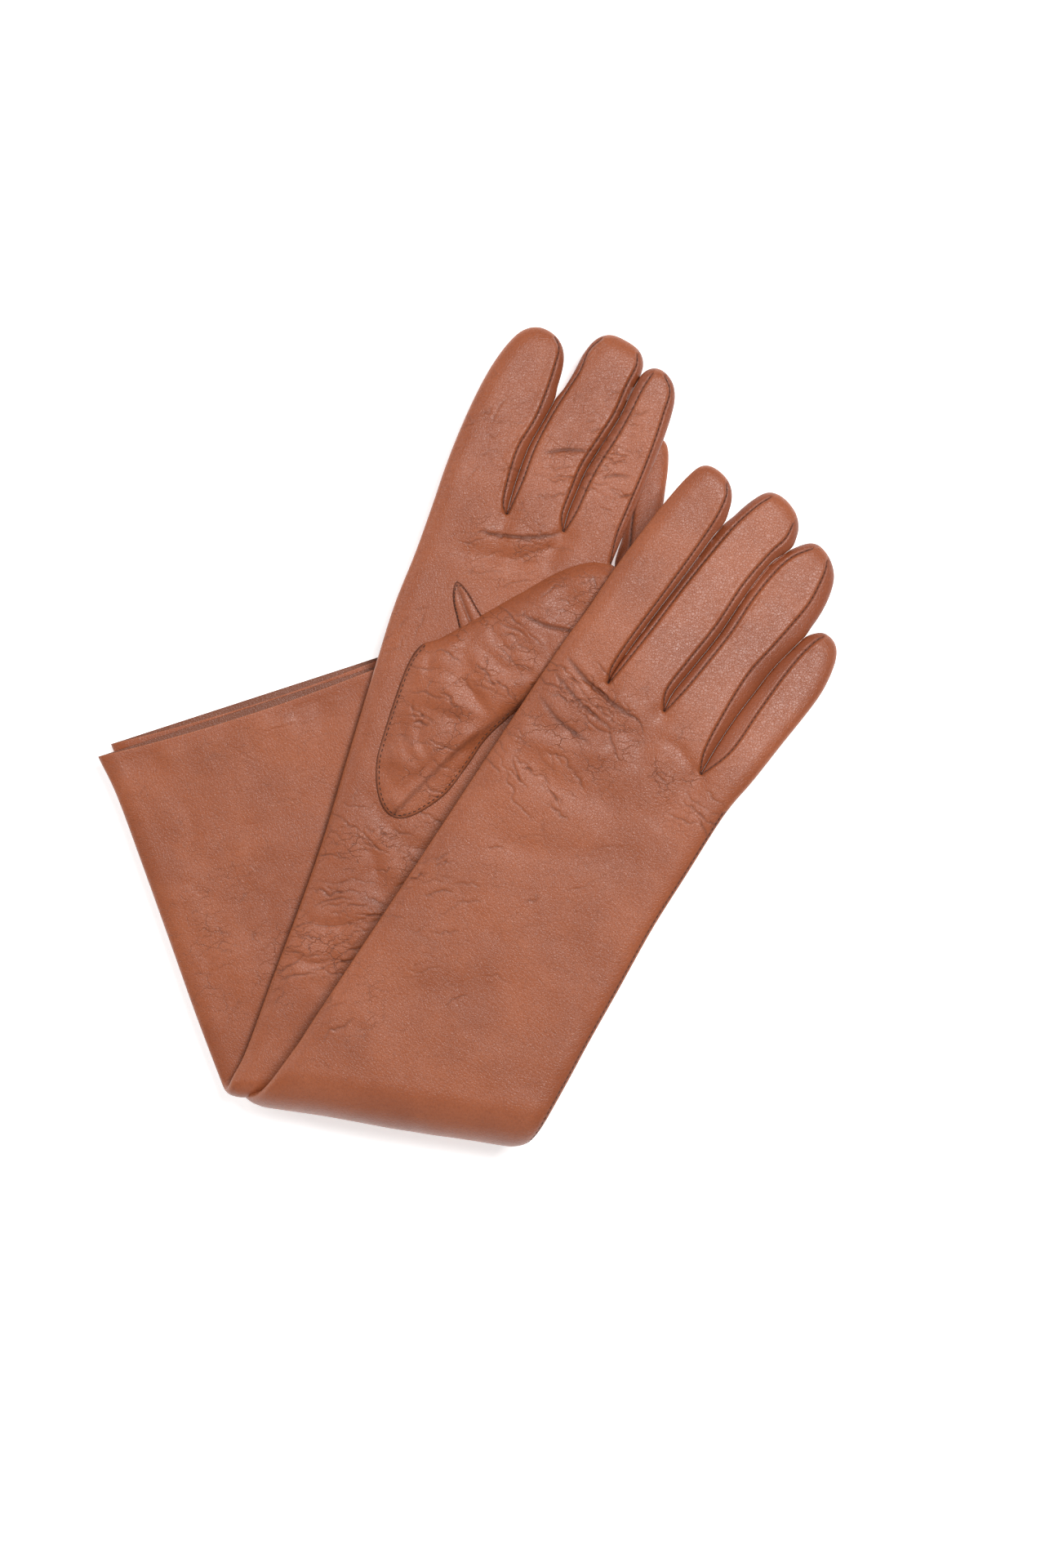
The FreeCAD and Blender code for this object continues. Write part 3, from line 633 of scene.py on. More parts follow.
# ---------------------------------------------------------------- one glove
class Glove:
    """One glove's pattern, its relief and the pieces cut from it."""

    def __init__(self, data):
        self.data = data
        self.name = data["name"]
        self.lay = Lay(data)
        lay = self.lay
        roots = np.array(data["roots"])
        self.roots = roots + SETTLE
        self.root_ways = turned_into(self.roots, data["hand_direction"], np.zeros(2))
        self.root_line = even_line(lay.hand(roots), 1.0)
        self.finger_areas = {}
        for number, finger in enumerate(FINGERS):
            if data[finger]:
                area = np.vstack([roots[number], data[finger], roots[number + 1]]) + SETTLE
                self.finger_areas[finger] = area
        self.seams = {name: smooth_line(lay.hand(points), 0.6)
                      for name, points in data["seams"].items()}
        self.calm = smooth_line(lay.hand(THUMBS[self.name]["outline"]), 1.5, True)
        self.cut_outline(roots)
        self.creases = [(smooth_line(lay.hand(points), 0.8), depth, width)
                        for points, depth, width in data["folds"]]
        for zones, carried, seed in ((data["zones"], lay.hand, 11),
                                     (data["sleeve_zones"], lay.sleeve, 12)):
            self.creases += [(carried(line), depth, width)
                             for line, depth, width in scattered_creases(zones, seed)]

    def cut_outline(self, roots):
        """The edge of the leather from mouth to mouth, up one side and down the other."""
        data, lay = self.data, self.lay
        left = np.vstack([lay.sleeve(data["sleeve_left"][::-1]), lay.hand(data["hand_left"]),
                          lay.hand(data["index"]), lay.hand(roots[1:2])])
        chains = [left,
                  lay.hand(np.vstack([roots[1], data["middle"], roots[2]])),
                  lay.hand(np.vstack([roots[2], data["ring"], roots[3]]))]
        side = [lay.hand(data["hand_right"]), lay.sleeve(data["sleeve_right"])]
        if data["little"]:
            side = [lay.hand(roots[3:4]), lay.hand(data["little"])] + side
        else:
            chains.append(np.vstack([lay.hand(roots[3:4]), side[0][:1]]))
        chains.append(np.vstack(side))
        self.right_side = smooth_line(np.vstack(side[-2:]))
        parts = [smooth_line(chain) if len(chain) > 2 else even_line(chain) for chain in chains]
        for number in range(len(parts) - 1):
            close_gap(parts[number], parts[number + 1])
        self.rim = np.vstack([part[:-1] for part in parts[:-1]] + [parts[-1]])
        self.mouth = even_line(np.vstack([self.rim[-1], self.rim[0]]))
        self.outline = np.vstack([self.rim, self.mouth[1:-1]])

    def plan(self, pattern):
        """Plan points of pattern points, as if the sleeve ran straight on."""
        lay = self.lay
        return lay.start + pattern[:, :1] * lay.along + pattern[:, 1:] * lay.away

    def beyond_root(self, plan):
        """How far plan points lie past the roots of the fingers."""
        ways = turned_into(plan, self.data["hand_direction"], np.zeros(2))
        return ways[:, 1] - np.interp(ways[:, 0], self.root_ways[:, 0], self.root_ways[:, 1])

    def finger_of(self, plan):
        """The number of the finger each plan point is on or nearest to."""
        names = list(self.finger_areas)
        owner = np.full(len(plan), -1)
        for number, finger in enumerate(names):
            owner[inside(plan, self.finger_areas[finger])] = number
        missing = np.flatnonzero(owner < 0)
        if len(missing):
            gaps = np.stack([nearest(plan[missing], self.finger_areas[finger])[0]
                             for finger in names])
            owner[missing] = gaps.argmin(0)
        return owner

    def form(self, pattern, side):
        """Half thickness, droop and darkness of the leather at pattern points: dark seams, and
        painted shade in the narrow creases.
        """
        data = self.data
        plan = self.plan(pattern)
        beyond = self.beyond_root(plan)
        rim_gap = nearest(pattern, self.rim)[0]
        on_finger = eased(beyond, -10.0, 10.0)
        half = data["half"] * (1 - on_finger) + FINGER_HALF * on_finger
        edge = data["edge"] * (1 - on_finger) + FINGER_EDGE * on_finger
        on_sleeve = pattern[:, 1] < self.lay.bend_at - self.lay.bend_length
        seen = np.where(on_sleeve, side < 0, side > 0)
        relief = self.waves(pattern, side, rim_gap)
        relief *= (1 - 0.35 * on_finger) * np.where(seen, 1.0, 0.4)
        relief += self.mouth_relief(pattern, side, seen)
        dark = np.zeros(len(pattern))
        if seen.any():
            field = np.zeros(len(pattern))
            field[seen] = crease_field(pattern[seen], self.creases)
            relief += field * rounded(rim_gap / 3.0)
            # Painted shade: the narrow creases are darkened in the colour.
            dark[seen] = painted_crease_shade(pattern[seen], self.creases)
        self.sink_seams(pattern, relief, dark)
        if side < 0:
            relief = relief * eased(self.fold_gap(pattern), 0.5, 8.0)
        thick = half * rounded(rim_gap / edge) + relief * rounded(rim_gap / 2.0)
        return np.maximum(thick, 0), self.drop(plan, beyond), dark, rim_gap

    def seed(self, side):
        """The start of the chance pattern of each sheet of each glove."""
        return (31 if side > 0 else 77) + (7 if self.name == "left" else 0)

    def waves(self, pattern, side, rim_gap):
        """Soft waves all over the leather, fuller where it is rumpled and calm by the thumb."""
        seed = self.seed(side)
        quiet = rounded(rim_gap / 9.0)
        if (side > 0) == (self.data["palm_side"] > 0):
            thumb_gap = nearest(pattern, self.calm)[0]
            quiet = quiet * (0.25 + 0.75 * eased(thumb_gap, 0.0, 9.0))
        share = self.rumple_share(pattern, 0.16, 1.0, 1.0)
        full = 0.85 * rumpled(pattern, 17.0, seed) + 0.4 * rumpled(pattern, 8.0, seed)
        return quiet * (0.34 * lattice_noise(pattern, 27.0, seed)
                        + 0.16 * lattice_noise(pattern, 13.0, seed + 1)
                        + 0.04 * lattice_noise(pattern, 5.5, seed + 2) + share * full)

    def rumple_share(self, pattern, least, gain, spread):
        """How rumpled the leather is at pattern points, from the least share up to 1."""
        share = np.full(len(pattern), least)
        spots = self.lay.place(pattern, 0.0, 0.0)[:, :2] - SETTLE
        for middle, reach, amount in self.data["rumples"]:
            away = ((spots - middle) ** 2).sum(1)
            peak = min(1.0, gain * amount)
            share = np.maximum(share, peak * np.exp(-away / (reach * spread) ** 2))
        return share

    def mouth_relief(self, pattern, side, seen):
        """Puckers by the mouth of the cuff and the groove of its hem."""
        gap, _, along = nearest(pattern, self.mouth)
        pucker = lattice_noise(np.stack([along, gap * 0.3], 1), 6.5, self.seed(side) + 9)
        return (0.8 * pucker * np.exp(-((gap - 6.0) / 4.5) ** 2) * seen
                - 0.22 * np.exp(-((gap - HEM_WIDTH) / 0.6) ** 2))

    def sink_seams(self, pattern, relief, dark):
        """Press every seam into the leather, with a lip on its finger side, and darken it."""
        for name, line in self.seams.items():
            near = np.flatnonzero((np.abs(pattern - line.mean(0)) < 60).all(1))
            if not len(near):
                continue
            gap, way, _ = nearest(pattern[near], line)
            outward = way if name.endswith("left") else -way
            relief[near] -= 0.45 * np.exp(-(gap / 0.32) ** 2)
            lip = np.exp(-((gap - 1.0) / 0.6) ** 2)
            relief[near] += np.where(outward < 0, 0.34, 0.08) * lip
            dark[near] = np.maximum(dark[near], np.exp(-(gap / 0.19) ** 2))
        side_gap = nearest(pattern, self.right_side)[0]
        relief -= 0.2 * np.exp(-((side_gap - 0.9) / 0.3) ** 2)
        side_seam = 0.8 * np.exp(-((side_gap - SIDE_SEAM_INSET) / 0.3) ** 2)
        np.maximum(dark, side_seam, out=dark)

    def drop(self, plan, beyond):
        """How far each finger hangs below the hand, easing in from its root."""
        drop = np.zeros(len(plan))
        past = np.flatnonzero(beyond > 0)
        if len(past):
            slope = np.array([math.tan(math.radians(self.data["droop"][finger]))
                              for finger in self.finger_areas])
            run = beyond[past]
            eased_run = run - DROOP_EASE * (1 - np.exp(-run / DROOP_EASE))
            drop[past] = slope[self.finger_of(plan[past])] * eased_run
        return drop

    def fold_gap(self, pattern):
        """How far pattern points lie from the bent part of the glove."""
        away, bend_at = pattern[:, 1], self.lay.bend_at
        return np.maximum(np.maximum(away - bend_at, bend_at - self.lay.bend_length - away), 0)

    def surface(self, pattern, side, extra=0.0):
        """Points of the outer (side 1) or inner (side -1) sheet of the folded glove."""
        thick, drop, _, _ = self.form(pattern, side)
        return self.lay.place(pattern, side * (thick + extra), drop)

    def build(self, leather, shaded_strip_leather, hem_leather, shaded_inner_leather, thread):
        """Make every leather piece of the glove from one mesh, then its stitches."""
        lay = self.lay
        hem_line = self.mouth[4:-4] + self.hem_shift(HEM_WIDTH)
        hem_line = hem_line[inside(hem_line, self.outline)]
        extra = [beside(line, (0.2, 0.5, 1.0)) for line in self.seams.values()]
        extra += [np.vstack([line, beside(line, (0.35, 0.9))]) for line, depth, width
                  in self.creases if depth > 0.06 and width < NARROW_CREASE]
        lines = list(self.seams.values()) + [self.root_line, hem_line]
        points, triangles = flat_mesh(self.outline, lines, np.vstack(extra), GRID_STEP)
        thick_up, drop, dark, rim_gap = self.form(points, 1)
        thick_down = self.form(points, -1)[0]
        count = len(points)
        under = np.where(rim_gap < 0.01, np.arange(count), np.arange(count) + count)
        everything = np.vstack([lay.place(points, thick_up, drop),
                                lay.place(self.drawn_back(points), -thick_down, drop)])
        faces = np.vstack([triangles, under[triangles][:, ::-1]])
        normals = vertex_normals(everything, faces)
        pattern = two_patterns(points)
        net = self.rumple_share(points, 0.12, 1.2, 1.2)
        edge = np.maximum(np.exp(-rim_gap / 1.5), np.exp(-nearest(points, self.mouth)[0] / 0.7))
        marks = {"seam": both_sheets(dark), "rim": both_sheets(edge), "net": both_sheets(net)}
        group = self.cut_up(points[triangles].mean(1), hem_line)
        for label in dict.fromkeys(group):
            chosen = group == label
            both = faces[both_sheets(chosen)]
            material = leather
            # The side strips take the darker copy of the leather, painted shade between the
            # fingers.
            if "fourchette" in label:
                material = shaded_strip_leather
            elif label == "hem":
                material = hem_leather
            piece = leather_object(self.name + "_" + self.title(label), everything, both,
                                   normals, pattern, marks, material)
            self.attach(piece, label)
        self.line_mouth(points, triangles, thick_up, thick_down, drop, shaded_inner_leather)
        self.stitch(thread)

    def cut_up(self, middles, hem_line):
        """Which piece of leather each spot of the pattern belongs to."""
        plan, lay = self.plan(middles), self.lay
        owner = np.where(self.beyond_root(plan) > 0, self.finger_of(plan), -1)
        group = np.array(["hand"] * len(middles), dtype=object)
        group[middles[:, 1] < lay.bend_at - lay.bend_length / 2] = "sleeve"
        group[self.fold_gap(middles) < 0.8] = "fold"
        for number, finger in enumerate(self.finger_areas):
            mine = owner == number
            group[mine] = finger
            for side in ("left", "right"):
                line = self.seams.get(finger + "_" + side)
                if line is None:
                    continue
                gap, way, _ = nearest(middles, line)
                outward = way if side == "left" else -way
                group[mine & (outward > 0) & (gap < STRIP_REACH)] = finger + "_fourchette_" + side
        hem_gap = nearest(middles, hem_line)[0]
        mouth_gap = nearest(middles, self.mouth)[0]
        group[(mouth_gap < 3.6) & (hem_gap < 3.6) & (mouth_gap + hem_gap < 4.4)] = "hem"
        return group

    def drawn_back(self, points):
        """The same points with the visible sheet's mouth pulled back into a shallow curve."""
        gap, _, along = nearest(points, self.mouth)
        length = np.linalg.norm(self.mouth[-1] - self.mouth[0])
        share = np.clip(along / length, 0.0, 1.0)
        pull = 2.4 * np.sin(share * math.pi) ** 0.8 * np.exp(-gap / 14.0)
        return points + self.hem_shift(1.0) * pull[:, None]

    def hem_shift(self, width):
        """A shift in the pattern from the mouth towards the hand."""
        middle = self.mouth.mean(0)
        target = np.array([middle[0], self.lay.bend_at])
        ahead = self.mouth[-1] - self.mouth[0]
        normal = np.array([-ahead[1], ahead[0]]) / np.linalg.norm(ahead)
        return normal * math.copysign(width, (target - middle) @ normal)

    def title(self, label):
        """The name a piece is known by."""
        if label in FINGERS:
            return label + "_stall_leather"
        return {"hand": "hand_leather", "sleeve": "sleeve_leather", "fold": "folded_leather",
                "hem": "cuff_hem_leather"}.get(label, label)

    def root_point(self, finger):
        """The middle of a finger's root and a point a little way along it, in metres."""
        number = FINGERS.index(finger)
        middle = self.roots[number:number + 2].mean(0)
        turn = math.radians(self.data["hand_direction"])
        ahead = np.array([math.cos(turn), math.sin(turn)])
        level = self.data["hand_level"]
        start = np.append(middle + ahead * 1.0, level) * MM
        end = np.append(middle + ahead * 12.0, level) * MM
        return start, end

    def bend_along(self, piece):
        """Fix a piece where it lies round the fold between the sleeve and the hand."""
        low = (self.data["sleeve_level"] + self.data["half"] + 0.02) * MM
        high = (self.data["hand_level"] - self.data["half"] - 0.02) * MM
        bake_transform(piece)

    def attach(self, piece, label):
        """Let a hand, sleeve or hem piece move with its body; fold and finger pieces are fixed
        where they lie.
        """
        name = self.name
        if label == "fold":
            self.bend_along(piece)
            return
        if label in ("hand", "sleeve"):
            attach(piece, name + "_" + label)
            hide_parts(name + "_" + label)
            return
        if label == "hem":
            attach(piece, name + "_sleeve")
            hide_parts(name + "_cuff_hem")
            return
        finger = label.split("_")[0]
        start, end = self.root_point(finger)
        name + "_" + finger
        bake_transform(piece)
        if "fourchette" in label:
            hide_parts(name + "_" + label)
        else:
            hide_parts(name + "_" + finger + "_stall")

    def line_mouth(self, points, triangles, thick_up, thick_down, drop, material):
        """The turned-in inside of the cuff, seen through its open mouth."""
        gap = nearest(points, self.mouth)[0]
        near = (gap[triangles] < LINING_REACH).all(1)
        inner_faces = triangles[near]
        rim_gap = nearest(points, self.rim)[0]
        shrink = np.clip(rim_gap / 2.0, 0.0, 1.0) * LEATHER
        up = np.maximum(thick_up - shrink, 0.02)
        down = np.maximum(thick_down - shrink, 0.02)
        count = len(points)
        upper = self.lay.place(points, up, drop)
        drawn = self.drawn_back(points)
        lower = self.lay.place(drawn, -down, drop)
        outer_up = self.lay.place(points, thick_up, drop)
        outer_down = self.lay.place(drawn, -thick_down, drop)
        everything = np.vstack([upper, lower, outer_up, outer_down])
        faces = [inner_faces[:, ::-1], inner_faces + count]
        at_mouth = np.flatnonzero(gap < 0.01)
        along = points[at_mouth] @ (self.mouth[-1] - self.mouth[0])
        at_mouth = at_mouth[np.argsort(along)]
        first, second = at_mouth[:-1], at_mouth[1:]
        for inner, outer, flip in ((0, 2 * count, False), (count, 3 * count, True)):
            ring = [np.stack([first + inner, second + inner, second + outer], 1),
                    np.stack([first + inner, second + outer, first + outer], 1)]
            faces += [part[:, ::-1] if flip else part for part in ring]
        faces = np.vstack(faces)
        normals = vertex_normals(everything, faces)
        pattern = np.vstack([points] * 4)
        marks = {name: np.zeros(4 * count) for name in ("seam", "rim", "net")}
        piece = leather_object(self.name + "_cuff_turning", everything, faces, normals, pattern,
                               marks, material)
        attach(piece, self.name + "_sleeve")

    def stitch(self, thread):
        """Real stitches along every finger seam, above and below, and up the side seam."""
        rows = {}
        for name, line in self.seams.items():
            finger = name.split("_")[0]
            ways = even_line(line, STITCH_EVERY)[:-1]
            rows.setdefault(finger, []).append((ways, 1))
            rows[finger].append((ways, -1))
        for finger, lines in rows.items():
            piece = sew_glove("%s_%s_stitches" % (self.name, finger), self, lines, thread)
            start, end = self.root_point(finger)
            if finger in self.finger_areas:
                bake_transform(piece)
            else:
                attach(piece, self.name + "_hand")
        side = self.right_side
        inward = np.array([-SIDE_SEAM_INSET, 0.0])
        ways = even_line(side + inward, STITCH_EVERY)
        if "little" not in self.finger_areas:
            ways = ways[7:]
        side_stitches = sew_glove(self.name + "_side_seam_stitches", self,
                                  [(ways, 1), (ways, -1)], thread)
        self.bend_along(side_stitches)
        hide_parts(self.name + "_hand_seam", self.name + "_sleeve_seam")


def stitch_mesh(centres, ahead, up, length, radius):
    """Small rounded stitches at the given points, as vertices and faces."""
    ahead = ahead / (np.linalg.norm(ahead, axis=1)[:, None] + 1e-12)
    across = np.cross(up, ahead)
    across /= np.linalg.norm(across, axis=1)[:, None] + 1e-12
    up = np.cross(ahead, across)
    rings = [(-0.5, 0.25), (-0.36, 0.85), (0.0, 1.0), (0.36, 0.85), (0.5, 0.25)]
    sides = 6
    spots, faces = [], []
    for way, swell in rings:
        for corner in range(sides):
            angle = 2 * math.pi * corner / sides
            sink = -0.12 * abs(way) * 2
            spots.append(centres + ahead * way * length
                         + across * radius * swell * math.cos(angle)
                         + up * (radius * swell * math.sin(angle) + sink))
    spots = np.stack(spots, 1)
    count = len(rings) * sides
    for ring in range(len(rings) - 1):
        for corner in range(sides):
            here, after = ring * sides + corner, ring * sides + (corner + 1) % sides
            faces.append((here, after, after + sides, here + sides))
    faces = np.array(faces)
    every = (faces[None] + (np.arange(len(centres)) * count)[:, None, None]).reshape(-1, 4)
    return spots.reshape(-1, 3), every


def sew(name, rows, thread, length=STITCH_LENGTH, radius=STITCH_RADIUS):
    """One object holding rows of stitches, each row its points and the way up at them."""
    spots, faces, total = [], [], 0
    for here, up in rows:
        made, quads = stitch_mesh(here, np.gradient(here, axis=0), up, length, radius)
        spots.append(made)
        faces.append(quads + total)
        total += len(made)
    return plain_object(name, np.vstack(spots), np.vstack(faces), thread)


def sew_glove(name, glove, seams, thread):
    """Stitches lying on a glove; each seam is its pattern points and the sheet it is on."""
    rows = []
    for ways, side in seams:
        here = glove.surface(ways, side, STITCH_LIFT)
        sideways = glove.surface(ways + [0.3, 0.0], side, STITCH_LIFT) - here
        onward = glove.surface(ways + [0.0, 0.3], side, STITCH_LIFT) - here
        rows.append((here, np.cross(sideways, onward) * side))
    return sew(name, rows, thread)


def upright(spots, way):
    """A row of stitches at the given points, lying level and facing up or down."""
    return spots, np.tile([0.0, 0.0, float(way)], (len(spots), 1))


# ---------------------------------------------------------------- thumbs, darts, little finger
def cushion(outline, step, lines, extra, way, seen, hidden):
    """Both sheets of a closed soft piece over a flat outline, joined at its rim."""
    points, triangles = flat_mesh(outline, lines, extra, step)
    rim = nearest(points, round_line(outline))[0]
    count = len(points)
    under = np.where(rim < 0.01, np.arange(count), np.arange(count) + count)
    upper, lower = (seen, hidden) if way > 0 else (hidden, seen)
    everything = np.vstack([upper(points, rim), lower(points, rim)])
    faces = np.vstack([triangles, under[triangles][:, ::-1]])
    return points, rim, everything, faces, vertex_normals(everything, faces)


def build_thumb(glove, leather, thread):
    """The thumb, sewn into the palm at its base and lying across it."""
    data = THUMBS[glove.name]
    outline = smooth_line(np.array(data["outline"]) + SETTLE, LINE_STEP, True)[:-1]
    sewn = smooth_line(np.array(data["outline"][:data["sewn"]]) + SETTLE, 0.6)
    base = np.array(data["start"]) + SETTLE
    way = glove.data["palm_side"]
    tuck = smooth_line(np.array(data["tuck"]) + SETTLE, 0.8) if data["tuck"] else []
    creases = [(smooth_line(np.array(points) + SETTLE, 0.8), depth, width)
               for points, depth, width in data["folds"]]
    creases += [(line + SETTLE, depth, width)
                for line, depth, width in scattered_creases(data["zones"], 21)]
    extra = np.vstack([beside(sewn, (0.4, 0.9))]
                      + [np.vstack([line, beside(line, (0.5, 1.1))])
                         for line, depth, width in creases if width < NARROW_CREASE])

    def height(points, rim):
        onward = turned_into(points, data["direction"], base)[:, 1]
        full = eased(onward, 0.0, data["length_way"])
        ramp = 0.42 + 0.58 * full
        waves = (0.34 * lattice_noise(points, 17.0, 61) + 0.16 * lattice_noise(points, 8.0, 62)
                 + 0.05 * lattice_noise(points, 4.0, 63) + 0.85 * rumpled(points, 15.0, 64)
                 + 0.40 * rumpled(points, 7.5, 65))
        relief = waves * rounded(rim / 5.0) + crease_field(points, creases) * rounded(rim / 2)
        if len(tuck):
            gap, side, _ = nearest(points, tuck)
            under = eased(-gap * side, -0.6, 1.8) * eased(46.0 - onward, 0.0, 14.0)
            ramp = ramp * (1.0 - 0.45 * under)
            relief = relief - 0.5 * np.exp(-(gap / 0.8) ** 2) * eased(44.0 - onward, 0.0, 14.0)
        edge = data["edge"] * (1.25 - 0.35 * full)
        return np.maximum(data["rise"] * ramp * rounded(rim / edge) + relief, 0.0)

    def seen(points, rim):
        return np.column_stack([points, data["level"] + way * height(points, rim)])

    def hidden(points, rim):
        return np.column_stack([points, np.full(len(points), data["level"] - way * 0.25)])

    points, rim, everything, faces, normals = cushion(outline, 1.1, [], extra, way, seen, hidden)
    dark = np.exp(-(nearest(points, sewn)[0] / 0.45) ** 2)
    # Painted shade: the thumb's narrow creases are darkened in the colour.
    dark = np.maximum(dark, painted_crease_shade(points, creases))
    # Painted shade along the fold where the thumb tucks under.
    if len(tuck):
        dark = np.maximum(dark, 0.5 * np.exp(-(nearest(points, tuck)[0] / 0.7) ** 2))
    marks = {"seam": both_sheets(dark), "rim": both_sheets(np.exp(-rim / 1.5)),
             "net": np.full(2 * len(points), 0.75)}
    thumb = leather_object(glove.name + "_thumb_leather", everything, faces, normals,
                           two_patterns(points, 300.0), marks, leather)
    sewn_middle = sewn.mean(0)
    far = outline[np.linalg.norm(outline - sewn_middle, axis=1).argmax()]
    ahead = (far - sewn_middle) / np.linalg.norm(far - sewn_middle)
    start = np.append(sewn_middle + ahead * 6.0, data["level"]) * MM
    end = np.append(sewn_middle + ahead * 34.0, data["level"]) * MM
    body = glove.name + "_thumb"
    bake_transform(thumb)
    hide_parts(body)
    ways = even_line(sewn, STITCH_EVERY)
    along = np.gradient(ways, axis=0)
    inward = np.stack([-along[:, 1], along[:, 0]], 1)
    inward /= np.linalg.norm(inward, axis=1)[:, None]
    if not inside(ways + inward, outline).mean() > 0.5:
        inward = -inward
    ways = ways + inward * 1.1
    lift = height(ways, nearest(ways, round_line(outline))[0]) + STITCH_LIFT
    spots = np.column_stack([ways, data["level"] + way * lift])
    stitches = sew(glove.name + "_thumb_stitches", [upright(spots, way)], thread)
    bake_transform(stitches)


def build_gusset(glove, leather, thread):
    """The narrow dart let into the palm beside the thumb."""
    corners = np.array(GUSSETS[glove.name]) + SETTLE
    outline = smooth_line(corners, 0.6, True)[:-1]
    spine = even_line(np.vstack([corners[0], (corners[2] + corners[5]) / 2,
                                 (corners[3] + corners[4]) / 2]), 0.5)
    way, lay = glove.data["palm_side"], glove.lay

    def palm(points, lift):
        return glove.surface(lay.hand(points - SETTLE), way, lift)

    def lift(points, rim):
        valley = np.exp(-(nearest(points, spine)[0] / 0.55) ** 2)
        return 0.1 + 1.1 * rounded(rim / 1.7) - 0.75 * valley * rounded(rim / 1.4)

    def seen(points, rim):
        return palm(points, lift(points, rim))

    def hidden(points, rim):
        return palm(points, 0.0 * rim - 0.3)

    points, rim, everything, faces, normals = cushion(outline, 0.6, [], np.zeros((0, 2)), way,
                                                      seen, hidden)
    # The seam round the dart is dark; the line down its valley is painted shade.
    dark = np.maximum(np.exp(-(rim / 0.5) ** 2),
                      0.6 * np.exp(-(nearest(points, spine)[0] / 0.4) ** 2))
    plain = np.zeros(2 * len(points))
    marks = {"seam": both_sheets(dark), "rim": plain, "net": plain}
    dart = leather_object(glove.name + "_thumb_gusset_leather", everything, faces, normals,
                          two_patterns(points, 450.0), marks, leather)
    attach(dart, glove.name + "_hand")
    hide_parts(glove.name + "_thumb_gusset")
    ways = even_line(round_line(outline), 1.5)
    ways = ways + (outline.mean(0) - ways) * 0.12
    spots = palm(ways, lift(ways, nearest(ways, round_line(outline))[0]) + STITCH_LIFT)
    stitches = sew(glove.name + "_gusset_stitches", [upright(spots, way)], thread, 1.0, 0.15)
    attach(stitches, glove.name + "_hand")


def build_left_little(glove, leather, shaded_strip_leather, thread):
    """The left little finger, bent in under the ring finger."""
    outline = smooth_line(np.array(LEFT_LITTLE["outline"]) + SETTLE)
    outline = np.vstack([outline, even_line(np.vstack([outline[-1], outline[0]]))[1:-1]])
    seam = smooth_line(np.array(LEFT_LITTLE["seam"]) + SETTLE, 0.6)
    root = np.array(LEFT_LITTLE["root"]) + SETTLE
    slope = math.tan(math.radians(glove.data["droop"]["little"]))

    def past_root(points):
        return turned_into(points, LEFT_LITTLE["direction"], root)[:, 1]

    def middle(points):
        return LEFT_LITTLE["level"] - slope * np.maximum(past_root(points), 0.0)

    def thick(points, rim):
        waves = 0.25 * lattice_noise(points, 9.0, 91) * rounded(rim / 5.0)
        gap = nearest(points, seam)[0]
        return np.maximum(2.25 * rounded(rim / 4.6) + waves
                          - 0.35 * np.exp(-(gap / 0.45) ** 2), 0.0)

    def upper(points, rim):
        return np.column_stack([points, middle(points) + thick(points, rim)])

    def lower(points, rim):
        return np.column_stack([points, middle(points) - thick(points, rim)])

    points, rim, everything, faces, normals = cushion(outline, 1.2, [seam],
                                                      beside(seam, (0.4, 0.9)), 1, upper, lower)
    dark = np.exp(-(nearest(points, seam)[0] / 0.5) ** 2)
    marks = {"seam": both_sheets(dark), "rim": both_sheets(np.exp(-rim / 1.5)),
             "net": np.full(2 * len(points), 0.3)}
    middles = points[faces[:len(faces) // 2]].mean(1)
    gap, way, _ = nearest(middles, seam)
    strip = (way > 0) & (gap < 5.0) & (past_root(middles) > 4.0)
    body = "left_little"
    for label, chosen, material in (("left_little_stall_leather", ~strip, leather),
                                    ("left_little_fourchette_leather", strip, shaded_strip_leather)):
        piece = leather_object(label, everything, faces[both_sheets(chosen)], normals,
                               two_patterns(points, 600.0), marks, material)
        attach(piece, body)
        if "stall" in label:
            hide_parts("left_little_stall")
        else:
            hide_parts("left_little_fourchette_left")
    ways = even_line(seam, STITCH_EVERY)
    rim_gap = nearest(ways, outline)[0]
    rows = [upright(upper(ways, rim_gap), 1), upright(lower(ways, rim_gap), -1)]
    stitches = sew("left_little_stitches", rows, thread)
    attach(stitches, body)


# ---------------------------------------------------------------- finishes
class Wire:
    """One output in a material, with ordinary arithmetic."""

    def __init__(self, paint, socket):
        self.paint = paint
        self.socket = socket

    def work(self, operation, first, second=0.0):
        """One step of arithmetic between wires or plain numbers."""
        return self.paint.make("ShaderNodeMath", {"operation": operation},
                               {0: first, 1: second})

    def __add__(self, other):
        return self.work("ADD", self, other)

    __radd__ = __add__

    def __sub__(self, other):
        return self.work("SUBTRACT", self, other)

    def __rsub__(self, other):
        return self.work("SUBTRACT", other, self)

    def __mul__(self, other):
        return self.work("MULTIPLY", self, other)

    __rmul__ = __mul__

    def between(self, low, high):
        """0 below low, 1 above high, smooth in between."""
        return self.paint.make("ShaderNodeMapRange", {"interpolation_type": "SMOOTHSTEP"},
                               {0: self, 1: low, 2: high})


